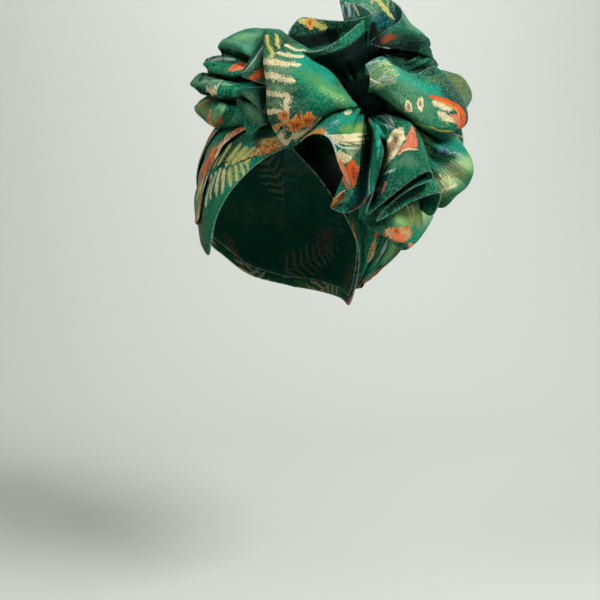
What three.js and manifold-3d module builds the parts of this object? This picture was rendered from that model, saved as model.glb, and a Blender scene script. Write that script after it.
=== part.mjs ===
// A tied gele head tie: stiff brocade wrapped round the head in lapping bands, gathered over
// the crown, and knotted above one eye into a rosette of ruffles. Millimetres, +Z up. The origin
// is the middle of the head at brow height, the face looks along -Y, and +X is the wearer's left.
import * as THREE from "three";
import Module from "manifold-3d";

const wasm = await Module();
wasm.setup();

// The cloth, the room that pieces keep where they meet, and the looser room between lapped bands.
const CLOTH = 2.0;
const GAP = 0.35;
const LAYER = CLOTH + 1.2;

// The head that the wrap is tied on, which stays open. Below the brow it narrows to the neck.
const HEAD = { halfWidth: 75, front: 93, back: 98, crown: 108, neck: 95, sideTaper: 0.28, backTaper: 0.42 };

// Where the ruffles spring from, and where the bunched neck of the rosette stands on the wrap.
const HEART = new THREE.Vector3(74, -64, 107);
const NECK_FOOT = new THREE.Vector3(34, -34, 84);

// The cloth's own shades: a bright face, the same cloth in the shade of the folds, and its rim.
const CLOTH_FACE = { color: 0x0f7a5c, roughness: 0.5, metalness: 0.1 };
const CLOTH_DEEP = { color: 0x0a5a46, roughness: 0.55, metalness: 0.1 };
const CLOTH_WARM = { color: 0xb5522f, roughness: 0.55, metalness: 0.1 };

// The hem of the wrap: how high it lies at each bearing round the head, 0 at the brow.
const HEM = [
  { bearing: -180, height: -72 },
  { bearing: -150, height: -60 },
  { bearing: -120, height: -34 },
  { bearing: -90, height: -16 },
  { bearing: -72, height: -22 },
  { bearing: -60, height: -28 },
  { bearing: -54, height: -12 },
  { bearing: -46, height: 12 },
  { bearing: -32, height: 37 },
  { bearing: -14, height: 56 },
  { bearing: 4, height: 66 },
  { bearing: 22, height: 45 },
  { bearing: 38, height: 17 },
  { bearing: 52, height: -6 },
  { bearing: 66, height: -30 },
  { bearing: 76, height: -62 },
  { bearing: 90, height: -80 },
  { bearing: 120, height: -78 },
  { bearing: 150, height: -74 },
  { bearing: 180, height: -72 },
];

// Bands lap each other over the temple, and each row gives a band's lower and upper edge.
const BANDS = {
  inner: [
    { bearing: 5, lower: 63, upper: 84 },
    { bearing: -14, lower: 52, upper: 88 },
    { bearing: -32, lower: 33, upper: 85 },
    { bearing: -46, lower: 8, upper: 76 },
    { bearing: -54, lower: -16, upper: 66 },
    { bearing: -60, lower: -32, upper: 56 },
    { bearing: -72, lower: -26, upper: 44 },
    { bearing: -90, lower: -20, upper: 38 },
    { bearing: -120, lower: -38, upper: 26 },
    { bearing: -150, lower: -64, upper: 0 },
    { bearing: -187, lower: -76, upper: -26 },
  ],
  middle: [
    { bearing: -12, lower: 79, upper: 94 },
    { bearing: -32, lower: 75, upper: 95 },
    { bearing: -46, lower: 65, upper: 93 },
    { bearing: -56, lower: 50, upper: 88 },
    { bearing: -61, lower: 28, upper: 82 },
    { bearing: -67, lower: 0, upper: 76 },
    { bearing: -90, lower: -8, upper: 70 },
    { bearing: -120, lower: -18, upper: 62 },
    { bearing: -150, lower: -42, upper: 40 },
    { bearing: -190, lower: -66, upper: 14 },
    { bearing: -222, lower: -72, upper: -20 },
    { bearing: -246, lower: -74, upper: -44 },
  ],
  outer: [
    { bearing: -34, lower: 91, upper: 99 },
    { bearing: -50, lower: 86, upper: 99 },
    { bearing: -64, lower: 76, upper: 98 },
    { bearing: -78, lower: 60, upper: 96 },
    { bearing: -90, lower: 40, upper: 95 },
    { bearing: -106, lower: 18, upper: 94 },
    { bearing: -130, lower: 2, upper: 92 },
    { bearing: -155, lower: -14, upper: 86 },
    { bearing: -190, lower: -24, upper: 78 },
    { bearing: -222, lower: -18, upper: 66 },
    { bearing: -250, lower: 8, upper: 54 },
    { bearing: -262, lower: 26, upper: 48 },
  ],
  temple: [
    { bearing: 8, lower: 61, upper: 84 },
    { bearing: 22, lower: 42, upper: 78 },
    { bearing: 38, lower: 14, upper: 66 },
    { bearing: 52, lower: -9, upper: 50 },
    { bearing: 66, lower: -33, upper: 36 },
    { bearing: 76, lower: -65, upper: 28 },
    { bearing: 90, lower: -84, upper: 22 },
    { bearing: 120, lower: -82, upper: 10 },
    { bearing: 172, lower: -76, upper: -10 },
  ],
};

// The gathers go round the crown in four rolls. Each row is a roll or the crease by it, with its
// [height, reach] from the middle at the front, left, rear and right of the head, and the place
// round the head where it waves up.
const GATHER_CENTRE = new THREE.Vector3(-12, 2, 172);
const GATHERS = [
  { front: [86, 61], left: [80, 47], rear: [74, 76], right: [87, 58], sway: 0 },
  { front: [88, 72], left: [85, 58], rear: [81, 85], right: [90, 64], sway: 20 },
  { front: [97, 80], left: [101, 69], rear: [98, 93], right: [99, 66], sway: 70 },
  { front: [105, 72], left: [112, 56], rear: [109, 80], right: [105, 58], sway: 10 },
  { front: [111, 79], left: [124, 73], rear: [122, 89], right: [112, 61], sway: 120 },
  { front: [117, 66], left: [133, 50], rear: [132, 70], right: [118, 50], sway: 40 },
  { front: [126, 69], left: [142, 60], rear: [142, 74], right: [125, 51], sway: 90 },
  { front: [131, 54], left: [147, 38], rear: [149, 54], right: [130, 40], sway: 150 },
  { front: [147, 54], left: [156, 46], rear: [159, 55], right: [139, 38], sway: 60 },
  { front: [166, 30], left: [169, 22], rear: [169, 28], right: [158, 22], sway: 0 },
];
const GATHER_SWAY = 2.5;

// Pressed pleats lie over the front of the gathers, each a flap between a tip and its root.
const PLEATS = {
  crown_pleat: [
    { x: -36, out: 70, height: 125 },
    { x: -14, out: 42, height: 166 },
    { x: -9, out: 84, height: 116 },
  ],
  temple_pleat_upper: [
    { x: -39, out: 76, height: 114 },
    { x: -10, out: 84, height: 116 },
    { x: -14, out: 88, height: 94 },
  ],
  temple_pleat_lower: [
    { x: -40, out: 72, height: 108 },
    { x: -6, out: 88, height: 90 },
    { x: -29, out: 74, height: 74 },
  ],
};

// The smooth puff over the brow, in upright sections from its folded edge to the rosette. A section
// stands at one side position, its foot at another, and its points are [out, height] pairs.
const PUFF = [
  { footSide: 1, side: -6, foot: [84, 71], low: [84, 94], high: [76, 124], top: [40, 157] },
  { footSide: 3, side: -13, foot: [93, 65], low: [101, 88], high: [92, 124], top: [48, 167] },
  { footSide: 6, side: 0, foot: [95, 63], low: [113, 90], high: [106, 125], top: [52, 166] },
  { footSide: 13, side: 16, foot: [99, 67], low: [119, 93], high: [113, 121], top: [60, 155] },
  { footSide: 26, side: 32, foot: [106, 79], low: [117, 98], high: [108, 117], top: [68, 143] },
  { footSide: 43, side: 48, foot: [104, 91], low: [107, 100], high: [100, 111], top: [78, 125] },
  { footSide: 58, side: 60, foot: [94, 98], low: [94, 99], high: [90, 103], top: [82, 107] },
];

// Ruffles, fold by fold along their free edge: its bearing from straight up as seen from the
// front, its reach from the heart, and how far it stands out in front of the head's middle. Half
// way down the fold the cloth has turned by an angle, swollen forwards, and reached only so far.
const TOP_RUFFLE = [
  { bearing: -14, reach: 54, out: 78, turn: 0, swell: 4, half: 30 },
  { bearing: -32, reach: 54, out: 86, turn: 0, swell: 6, half: 32 },
  { bearing: -49, reach: 58, out: 88, turn: 0, swell: 2, half: 36 },
  { bearing: -56, reach: 72, out: 78, turn: -6, swell: -4, half: 48 },
  { bearing: -52, reach: 87, out: 58, turn: -4, swell: -8, half: 56 },
  { bearing: -39, reach: 91, out: 42, turn: -2, swell: -12, half: 58 },
  { bearing: -28, reach: 79, out: 36, turn: -4, swell: -14, half: 54 },
  { bearing: -12, reach: 70, out: 42, turn: -2, swell: -12, half: 46 },
  { bearing: 3, reach: 73, out: 57, turn: 0, swell: -6, half: 42 },
  { bearing: -5, reach: 83, out: 38, turn: 0, swell: -6, half: 50 },
  { bearing: -14, reach: 91, out: 22, turn: 0, swell: -6, half: 54 },
  { bearing: -8, reach: 96, out: 10, turn: 0, swell: -8, half: 58 },
  { bearing: 7, reach: 97, out: 6, turn: 4, swell: -8, half: 60 },
  { bearing: 20, reach: 92, out: 14, turn: 10, swell: -8, half: 66 },
  { bearing: 28, reach: 85, out: 32, turn: 14, swell: -2, half: 77 },
  { bearing: 25, reach: 68, out: 50, turn: 26, swell: 2, half: 70 },
  { bearing: 15, reach: 57, out: 62, turn: 34, swell: 4, half: 50 },
  { bearing: 0, reach: 45, out: 70, turn: 36, swell: 6, half: 30 },
];
const FAN = [
  { bearing: 237, reach: 74, out: 99, turn: 4, swell: 22, half: 43 },
  { bearing: 237, reach: 58, out: 112, turn: 2, swell: 24, half: 34 },
  { bearing: 225, reach: 49, out: 122, turn: 0, swell: 24, half: 30 },
  { bearing: 204, reach: 63, out: 126, turn: 0, swell: 26, half: 38 },
  { bearing: 191, reach: 83, out: 125, turn: 0, swell: 24, half: 50 },
  { bearing: 199, reach: 99, out: 106, turn: -2, swell: 10, half: 58 },
  { bearing: 191, reach: 100, out: 104, turn: -2, swell: 8, half: 58 },
  { bearing: 185, reach: 92, out: 114, turn: -4, swell: 16, half: 54 },
  { bearing: 179, reach: 79, out: 130, turn: -8, swell: 28, half: 46 },
  { bearing: 181, reach: 99, out: 109, turn: -8, swell: 12, half: 58 },
  { bearing: 173, reach: 89, out: 119, turn: -10, swell: 18, half: 50 },
  { bearing: 162, reach: 81, out: 118, turn: -18, swell: 18, half: 46 },
  { bearing: 150, reach: 78, out: 108, turn: -22, swell: 12, half: 44 },
  { bearing: 140, reach: 82, out: 96, turn: -16, swell: 6, half: 50 },
  { bearing: 141, reach: 90, out: 82, turn: -12, swell: 0, half: 54 },
  { bearing: 154, reach: 86, out: 97, turn: -10, swell: 2, half: 52 },
  { bearing: 167, reach: 91, out: 104, turn: -8, swell: 4, half: 54 },
  { bearing: 176, reach: 105, out: 101, turn: -6, swell: 4, half: 62 },
  { bearing: 167, reach: 101, out: 90, turn: -6, swell: 0, half: 60 },
  { bearing: 156, reach: 98, out: 80, turn: -8, swell: -2, half: 58 },
  { bearing: 142, reach: 105, out: 74, turn: -8, swell: -4, half: 62 },
  { bearing: 150, reach: 119, out: 60, turn: -10, swell: -8, half: 70 },
  { bearing: 154, reach: 106, out: 48, turn: -10, swell: -8, half: 64 },
];
const BACK_RUFFLE = [
  { bearing: 109, reach: 86, out: 30, turn: 0, swell: 2, half: 58 },
  { bearing: 114, reach: 94, out: 46, turn: 0, swell: 12, half: 66 },
  { bearing: 119, reach: 110, out: 44, turn: 0, swell: 10, half: 70 },
  { bearing: 124, reach: 117, out: 52, turn: 0, swell: 10, half: 76 },
  { bearing: 130, reach: 121, out: 46, turn: 0, swell: 8, half: 78 },
  { bearing: 136, reach: 119, out: 50, turn: 0, swell: 8, half: 78 },
  { bearing: 143, reach: 121, out: 42, turn: 0, swell: 2, half: 76 },
  { bearing: 148, reach: 112, out: 28, turn: 0, swell: -4, half: 70 },
];
const UNDER_RUFFLE = [
  { bearing: 184, reach: 104, out: 84, turn: 0, swell: 4, half: 76 },
  { bearing: 177, reach: 113, out: 87, turn: 0, swell: 6, half: 80 },
  { bearing: 171, reach: 124, out: 73, turn: 0, swell: 2, half: 86 },
  { bearing: 166, reach: 137, out: 68, turn: 0, swell: 6, half: 92 },
  { bearing: 160, reach: 136, out: 54, turn: 0, swell: 0, half: 92 },
  { bearing: 155, reach: 130, out: 48, turn: 0, swell: 4, half: 90 },
  { bearing: 149, reach: 124, out: 34, turn: 0, swell: 0, half: 86 },
];
const REAR_RUFFLE = [
  { bearing: 66, reach: 70, out: 18, turn: 0, swell: -2, half: 48 },
  { bearing: 71, reach: 78, out: 26, turn: 0, swell: 2, half: 52 },
  { bearing: 77, reach: 93, out: 16, turn: 0, swell: 0, half: 58 },
  { bearing: 88, reach: 102, out: 4, turn: 0, swell: -6, half: 60 },
  { bearing: 100, reach: 93, out: 10, turn: 0, swell: -4, half: 56 },
  { bearing: 114, reach: 104, out: -2, turn: 0, swell: -10, half: 60 },
  { bearing: 128, reach: 100, out: 8, turn: 0, swell: -8, half: 62 },
  { bearing: 142, reach: 104, out: -6, turn: 0, swell: -12, half: 64 },
];

// The drape behind the ear is a ruffle of its own kind. It fans upwards from its tail, where the
// cloth is tucked in low behind the ear, and curls in under the rosette.
const TAIL = new THREE.Vector3(66, 16, -82);
const SIDE_DRAPE = [
  { bearing: 4, reach: 94, out: 50, turn: 3, swell: 8, half: 52 },
  { bearing: 10, reach: 104, out: 58, turn: 5, swell: 8, half: 56 },
  { bearing: 14, reach: 108, out: 42, turn: 8, swell: 2, half: 60 },
  { bearing: 21, reach: 114, out: 48, turn: 10, swell: 8, half: 64 },
  { bearing: 23, reach: 118, out: 28, turn: 13, swell: 2, half: 68 },
  { bearing: 27, reach: 122, out: 14, turn: 13, swell: 8, half: 76 },
  { bearing: 22, reach: 123, out: -8, turn: 16, swell: 2, half: 72 },
  { bearing: 15, reach: 119, out: -24, turn: 16, swell: -2, half: 66 },
  { bearing: 10, reach: 113, out: -36, turn: 14, swell: -6, half: 60 },
];

// The right ruffle is a roll. Each row places its lower fold, then says how far its face rises to
// the crest, how far the cloth sinks behind it, and how far up and back the free edge stands.
const RIGHT_RUFFLE = [
  { bearing: 0, reach: 8, out: 98, rise: 16, sink: 0, edgeUp: 3, edgeBack: 5 },
  { bearing: 76, reach: 16, out: 104, rise: 25, sink: 2, edgeUp: 5, edgeBack: 12 },
  { bearing: 108, reach: 30, out: 103, rise: 31, sink: 6, edgeUp: 11, edgeBack: 18 },
  { bearing: 116, reach: 52, out: 94, rise: 35, sink: 9, edgeUp: 17, edgeBack: 24 },
  { bearing: 112, reach: 75, out: 80, rise: 45, sink: 8, edgeUp: 20, edgeBack: 24 },
  { bearing: 105, reach: 89, out: 62, rise: 27, sink: 4, edgeUp: 10, edgeBack: 18 },
  { bearing: 100, reach: 91, out: 42, rise: 16, sink: 0, edgeUp: 6, edgeBack: 12 },
  { bearing: 97, reach: 82, out: 22, rise: 12, sink: 0, edgeUp: 5, edgeBack: 8 },
];

const turn = THREE.MathUtils.degToRad;

// Resamples a run of points as a smooth curve with the given number of steps.
function smooth(points, steps) {
  const curve = new THREE.CatmullRomCurve3(points, false, "centripetal");
  return Array.from({ length: steps + 1 }, (_, i) => curve.getPoint(i / steps));
}

// A smooth grid of points through rows of control points.
function smoothGrid(rows, across, along) {
  const fine = rows.map((row) => smooth(row, along));
  const columns = fine[0].map((_, j) => smooth(fine.map((row) => row[j]), across));
  return Array.from({ length: across + 1 }, (_, i) => columns.map((column) => column[i]));
}

// Reads a table as a smooth run of bearings, each with the values of one or two named columns.
function smoothTable(table, steps, first, second = first) {
  const points = table.map((row) => new THREE.Vector3(row.bearing, row[first], row[second]));
  return smooth(points, steps).map(({ x, y, z }) => ({ bearing: x, first: y, second: z }));
}

// A point on the head at a bearing from the face and a height, without any cloth.
function onHead(bearing, height) {
  const depth = Math.min(0, height) / HEAD.neck;
  const round = Math.sqrt(Math.max(0, 1 - Math.max(0, height / HEAD.crown) ** 2));
  const forward = Math.cos(turn(bearing));
  const halfWidth = HEAD.halfWidth * (1 - HEAD.sideTaper * depth ** 2);
  const back = HEAD.back * (1 - HEAD.backTaper * depth ** 2);
  const front = HEAD.front * (1 - HEAD.sideTaper * depth ** 2);
  const length = forward > 0 ? front : back;
  return new THREE.Vector3(
    halfWidth * round * Math.sin(turn(bearing)), -length * round * forward, height);
}

// The same point lifted off the head by a number of cloth layers.
function overHead(bearing, height, layers) {
  const STEP = 1;
  const SHORT_OF_CROWN = 0.2;
  const here = onHead(bearing, height);
  const aside = onHead(bearing + STEP, height).sub(onHead(bearing - STEP, height));
  const above = onHead(bearing, Math.min(height + STEP, HEAD.crown - SHORT_OF_CROWN));
  const upward = above.sub(onHead(bearing, height - STEP));
  const normal = aside.cross(upward).normalize();
  return here.addScaledVector(normal, GAP + CLOTH / 2 + layers * LAYER);
}

// Gives a grid of points the thickness of cloth and closes it along its edges. A closed grid
// runs round in a ring, and one with a pole comes together in a point at its last column.
function sheet(grid, { thickness = CLOTH, closed = false, pole = false } = {}) {
  const across = grid.length;
  const along = grid[0].length;
  const rowAt = (i) => grid[closed ? (i + across) % across : THREE.MathUtils.clamp(i, 0, across - 1)];
  const positions = [];
  const ids = [[], []];
  [-0.5, 0.5].forEach((side, layer) => {
    for (let i = 0; i < across; i += 1) {
      ids[layer].push([]);
      for (let j = 0; j < along; j += 1) {
        if (pole && j === along - 1 && i > 0) {
          ids[layer][i].push(ids[layer][0][j]);
          continue;
        }
        const sideways = rowAt(i + 1)[j].clone().sub(rowAt(i - 1)[j]);
        const onward = grid[i][Math.min(j + 1, along - 1)].clone().sub(grid[i][Math.max(j - 1, 0)]);
        const atPole = pole && j === along - 1;
        const normal = atPole ? new THREE.Vector3(0, 0, 1) : sideways.cross(onward).normalize();
        ids[layer][i].push(positions.length / 3);
        positions.push(...grid[i][j].clone().addScaledVector(normal, side * thickness).toArray());
      }
    }
  });
  const faces = [];
  const quad = (a, b, c, d) => {
    if (a !== b && b !== c && a !== c) faces.push(a, b, c);
    if (a !== c && c !== d && a !== d) faces.push(a, c, d);
  };
  const lastRow = closed ? across : across - 1;
  for (let i = 0; i < lastRow; i += 1) {
    const next = (i + 1) % across;
    for (let j = 0; j < along - 1; j += 1) {
      quad(ids[1][i][j], ids[1][next][j], ids[1][next][j + 1], ids[1][i][j + 1]);
      quad(ids[0][i][j], ids[0][i][j + 1], ids[0][next][j + 1], ids[0][next][j]);
    }
    quad(ids[0][i][0], ids[0][next][0], ids[1][next][0], ids[1][i][0]);
    if (!pole) {
      const end = along - 1;
      quad(ids[1][i][end], ids[1][next][end], ids[0][next][end], ids[0][i][end]);
    }
  }
  if (!closed) {
    for (let j = 0; j < along - 1; j += 1) {
      const end = across - 1;
      quad(ids[1][0][j], ids[1][0][j + 1], ids[0][0][j + 1], ids[0][0][j]);
      quad(ids[0][end][j], ids[0][end][j + 1], ids[1][end][j + 1], ids[1][end][j]);
    }
  }
  return solid(positions, faces);
}

// Makes a closed mesh a solid that can be joined and cut, and turns it right side out.
function solid(positions, faces) {
  const mesh = new wasm.Mesh({
    numProp: 3, vertProperties: new Float32Array(positions), triVerts: new Uint32Array(faces) });
  const made = new wasm.Manifold(mesh);
  if (made.volume() > 0) return made;
  for (let i = 0; i < faces.length; i += 3) {
    [faces[i + 1], faces[i + 2]] = [faces[i + 2], faces[i + 1]];
  }
  return solid(positions, faces);
}

// A piece is a sheet of cloth and the same sheet with its room to the next, which cuts others.
function cloth(grid, options = {}) {
  return { body: sheet(grid, options), room: sheet(grid, { ...options, thickness: CLOTH + 2 * GAP }) };
}

// Trims a piece where it meets earlier ones, and keeps its main part.
function trimmed(piece, ...earlier) {
  let rest = piece.body;
  for (const { room, body } of earlier) rest = rest.subtract(room).subtract(body);
  const [main] = rest.decompose().sort((a, b) => b.volume() - a.volume());
  return { body: main, room: piece.room };
}

// The snug layer on the head, from the hem to the crown.
function headWrap() {
  const ROUND = 30;
  const UP = 7;
  const TURN_IN = 4;
  const grid = smoothTable(HEM, ROUND, "height").slice(0, ROUND).map(({ bearing, first }) => {
    const hem = first + TURN_IN;
    const rise = (j) => hem + (HEAD.crown - hem) * Math.sin(turn((90 * j) / UP));
    const points = Array.from({ length: UP }, (_, j) => overHead(bearing, rise(j), 0));
    return [...points, new THREE.Vector3(0, 0, HEAD.crown + GAP + CLOTH / 2)];
  });
  return cloth(grid, { closed: true, pole: true });
}

// A band that lies on the head between its two edges, over a number of other layers.
function headBand(table, layers, steps) {
  const UP = 4;
  const grid = smoothTable(table, steps, "lower", "upper").map(({ bearing, first, second }) => {
    const rise = (j) => THREE.MathUtils.lerp(first, second, j / UP);
    return Array.from({ length: UP + 1 }, (_, j) => overHead(bearing, rise(j), layers));
  });
  return cloth(grid);
}

// The rolls of cloth round the crown.
function crownGathers() {
  const ROUND = 24;
  const UP = 14;
  const WAVES = 3;
  const rows = Array.from({ length: ROUND }, (_, i) => {
    const angle = (2 * Math.PI * i) / ROUND;
    const east = Math.sin(angle);
    const north = Math.cos(angle);
    const ahead = north > 0 ? "front" : "rear";
    const aside = east > 0 ? "right" : "left";
    const points = GATHERS.map((fold) => {
      const [height, reach] = [0, 1].map((k) => fold[ahead][k] * north ** 2 + fold[aside][k] * east ** 2);
      const wave = GATHER_SWAY * Math.sin(WAVES * angle + turn(fold.sway));
      return new THREE.Vector3(
        GATHER_CENTRE.x + reach * east, GATHER_CENTRE.y - reach * north, height + wave);
    });
    return smooth([...points, GATHER_CENTRE], UP);
  });
  return cloth(rows, { closed: true, pole: true });
}

// A pressed pleat: a flap between three corners that bows out a little in the middle.
function pleat(corners) {
  const BOW = 3;
  const LIFT = 1;
  const TIP = 0.08;
  const STEPS = 3;
  const [tip, upper, lower] = corners.map(({ x, out, height }) => new THREE.Vector3(x, -out, height));
  const rows = [0, 0.5, 1].map((share) => {
    const end = upper.clone().lerp(lower, share);
    const start = tip.clone().lerp(end, TIP);
    const middle = start.clone().lerp(end, 0.5);
    middle.y -= BOW * Math.sin(Math.PI * share) + LIFT;
    return [start, middle, end];
  });
  return cloth(smoothGrid(rows, STEPS, STEPS));
}

// The smooth puff above the brow. It leans a little as it rises, and turns in over the crown.
function crownPuff() {
  const LEAN = { low: 4, top: -3 };
  const OVER = { back: 34, down: 9 };
  const ACROSS = 11;
  const UP = 8;
  const rows = PUFF.map(({ footSide, side, foot, low, high, top }) => {
    const point = (x, [out, height]) => new THREE.Vector3(x, -out, height);
    const tuck = point(side, [top[0] - OVER.back, top[1] - OVER.down]);
    return [point(footSide, foot), point(side + LEAN.low, low), point(side, high),
      point(side + LEAN.top, top), tuck];
  });
  return cloth(smoothGrid(rows, ACROSS, UP));
}

// A point seen at a bearing and reach round a heart, standing out in front of the head's middle.
function aroundHeart(heart, bearing, reach, out) {
  return new THREE.Vector3(
    heart.x + reach * Math.sin(turn(bearing)), -out, heart.z + reach * Math.cos(turn(bearing)));
}

// A ruffle springs from a small copy of its own edge, a share of the way out from the heart.
function ruffle(heart, table, { root = 0.22, across }) {
  const ALONG = 4;
  const MIDDLE = 0.6;
  const rows = table.map(({ bearing, reach, out, turn: lean, swell, half }) => {
    const edge = aroundHeart(heart, bearing, reach, out);
    const halfOut = THREE.MathUtils.lerp(-heart.y, out, MIDDLE) + swell;
    return [heart.clone().lerp(edge, root), aroundHeart(heart, bearing + lean, half, halfOut), edge];
  });
  return cloth(smoothGrid(rows, across, ALONG));
}

// The rolled ruffle beside the rosette's heart.
function rightRuffle() {
  const ROOT = 0.35;
  const FACE = { out: 2, up: 0.5 };
  const CREST = { aside: 0.15, back: 0.3 };
  const HOLLOW = 0.6;
  const EDGE_ASIDE = 0.2;
  const ACROSS = 12;
  const ALONG = 9;
  const move = (from, x, y, z) => from.clone().add(new THREE.Vector3(x, y, z));
  const rows = RIGHT_RUFFLE.map(({ bearing, reach, out, rise, sink, edgeUp, edgeBack }) => {
    const fold = aroundHeart(HEART, bearing, reach, out);
    const root = HEART.clone().lerp(fold, ROOT);
    const face = move(fold, 0, -FACE.out, FACE.up * rise);
    const crest = move(fold, -CREST.aside * rise, CREST.back * edgeBack, rise);
    const hollow = move(crest, 0, HOLLOW * edgeBack, -sink);
    const edge = move(crest, -EDGE_ASIDE * edgeUp, edgeBack, edgeUp);
    return [root, fold, face, crest, hollow, edge];
  });
  return cloth(smoothGrid(rows, ACROSS, ALONG));
}

// The bunched neck of cloth that carries the rosette, fluted by its gathers and closed by a knot.
function rosetteNeck() {
  const ROUND = 12;
  const ALONG = 6;
  const FLUTES = { count: 4, depth: 0.08, twist: 2 };
  const KNOT = 1.4;
  const SECTIONS = [
    { share: 0, radius: 38 },
    { share: 0.35, radius: 28 },
    { share: 0.75, radius: 22 },
    { share: 1.1, radius: 19 },
    { share: 1.35, radius: 11 },
  ];
  const axis = HEART.clone().sub(NECK_FOOT).normalize();
  const aside = new THREE.Vector3(0, 0, 1).cross(axis).normalize();
  const upward = axis.clone().cross(aside);
  const rows = Array.from({ length: ROUND }, (_, i) => {
    const angle = (2 * Math.PI * i) / ROUND;
    const points = SECTIONS.map(({ share, radius }) => {
      const fluted = radius * (1 + FLUTES.depth * Math.cos(FLUTES.count * angle + FLUTES.twist * share));
      const point = NECK_FOOT.clone().lerp(HEART, share);
      point.addScaledVector(aside, fluted * Math.cos(angle));
      return point.addScaledVector(upward, fluted * Math.sin(angle));
    });
    return smooth([...points, NECK_FOOT.clone().lerp(HEART, KNOT)], ALONG);
  });
  return cloth(rows, { closed: true, pole: true });
}

// Turns a trimmed piece into a mesh with its name and finish.
function mesh(name, piece, finish) {
  const { vertProperties, triVerts, numProp } = piece.body.getMesh();
  const geometry = new THREE.BufferGeometry();
  const positions = new Float32Array((vertProperties.length / numProp) * 3);
  for (let i = 0; i < positions.length / 3; i += 1)
    positions.set(vertProperties.subarray(i * numProp, i * numProp + 3), i * 3);
  geometry.setAttribute("position", new THREE.BufferAttribute(positions, 3));
  geometry.setIndex(new THREE.BufferAttribute(new Uint32Array(triVerts), 1));
  geometry.computeVertexNormals();
  const made = new THREE.Mesh(geometry, new THREE.MeshStandardMaterial(finish));
  made.name = name;
  return made;
}

const wrap = headWrap();
const inner = trimmed(headBand(BANDS.inner, 1, 20), wrap);
const temple = trimmed(headBand(BANDS.temple, 1, 17), wrap, inner);
const middle = trimmed(headBand(BANDS.middle, 2, 18), inner, temple);
const outer = trimmed(headBand(BANDS.outer, 3, 20), middle);
const bands = [wrap, inner, middle, outer, temple];
const puff = trimmed(crownPuff(), ...bands);
const neck = trimmed(rosetteNeck(), ...bands, puff);
const gathers = trimmed(crownGathers(), ...bands, puff, neck);
const crown = [...bands, puff, neck, gathers];
const pleats = {};
for (const [name, corners] of Object.entries(PLEATS)) {
  pleats[name] = trimmed(pleat(corners), ...crown, ...Object.values(pleats));
}
const fan = trimmed(ruffle(HEART, FAN, { across: 42 }), ...crown);
const right = trimmed(rightRuffle(), ...crown, fan);
const top = trimmed(ruffle(HEART, TOP_RUFFLE, { across: 32 }), ...crown, fan, right);
const back = trimmed(ruffle(HEART, BACK_RUFFLE, { across: 14 }), ...crown, fan, right, top);
const under = trimmed(ruffle(HEART, UNDER_RUFFLE, { root: 0.42, across: 12 }), ...crown, fan, right, back);
const rear = trimmed(ruffle(HEART, REAR_RUFFLE, { across: 14 }), ...crown, fan, right, top, back, under);
const drape = trimmed(
  ruffle(TAIL, SIDE_DRAPE, { root: 0.12, across: 18 }), ...crown, fan, right, back, under, rear);

const gele = new THREE.Group();
gele.add(
  mesh("head_wrap", wrap, CLOTH_DEEP),
  mesh("brow_band_inner", inner, CLOTH_FACE),
  mesh("brow_band_middle", middle, CLOTH_WARM),
  mesh("brow_band_outer", outer, CLOTH_FACE),
  mesh("temple_band", temple, CLOTH_DEEP),
  mesh("crown_gathers", gathers, CLOTH_DEEP),
  ...Object.entries(pleats).map(([name, piece]) => mesh(name, piece, CLOTH_DEEP)),
  mesh("crown_puff", puff, CLOTH_FACE),
  mesh("rosette_neck", neck, CLOTH_DEEP),
  mesh("rosette_fan", fan, CLOTH_FACE),
  mesh("ruffle_right", right, CLOTH_FACE),
  mesh("ruffle_top", top, CLOTH_DEEP),
  mesh("ruffle_back", back, CLOTH_FACE),
  mesh("ruffle_under", under, CLOTH_FACE),
  mesh("ruffle_rear", rear, CLOTH_DEEP),
  mesh("side_drape", drape, CLOTH_DEEP),
);

export default gele;
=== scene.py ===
"""A tied gele head tie of printed brocade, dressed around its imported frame.

The tables are in millimetres, as in the part's source. The origin is the middle of the head at
brow height, the face looks along -Y, and +X is the wearer's left.
"""

from collections import namedtuple

import bmesh
import bpy
import numpy as np
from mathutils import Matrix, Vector
from mathutils.bvhtree import BVHTree


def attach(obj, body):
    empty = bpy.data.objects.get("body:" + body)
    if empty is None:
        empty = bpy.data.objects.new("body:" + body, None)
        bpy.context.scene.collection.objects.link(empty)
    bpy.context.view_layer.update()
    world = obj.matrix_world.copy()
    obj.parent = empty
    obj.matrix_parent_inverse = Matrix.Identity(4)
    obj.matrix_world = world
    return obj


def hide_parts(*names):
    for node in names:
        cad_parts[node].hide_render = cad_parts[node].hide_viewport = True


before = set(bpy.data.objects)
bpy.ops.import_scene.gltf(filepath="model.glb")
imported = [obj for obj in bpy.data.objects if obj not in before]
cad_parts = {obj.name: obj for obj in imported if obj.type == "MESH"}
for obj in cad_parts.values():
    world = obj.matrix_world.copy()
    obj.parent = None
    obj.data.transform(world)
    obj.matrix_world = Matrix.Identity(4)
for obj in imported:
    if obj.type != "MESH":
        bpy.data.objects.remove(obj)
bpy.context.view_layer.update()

MM = 0.001
SEED = 7
# The cloth's thickness and its share of that at an edge, the rise of one layer over another, and the
# gap that the first layer keeps from the head.
CLOTH = 1.4
EDGE_THICK = 0.45
LAYER = 3.2
CLEAR = 1.35
# Points of a sheet closer than this, in metres, are one.
MERGE = 1e-6
# The print's fleck and the weave's repeat.
FLECK = 1.2
THREAD = 0.7
# A piece that narrows has at least this share of its width times its length.
LEAST_AREA = 0.31

Head = namedtuple("Head", "half_width front back crown neck side_taper back_taper")
HEAD = Head(75, 93, 98, 108, 95, 0.28, 0.42)
HEART = np.array([74, -64, 107])
NECK_FOOT = np.array([34, -34, 84])
TAIL = np.array([66, 16, -82])
GATHER_CENTRE = np.array([-12, 2, 172])

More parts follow.
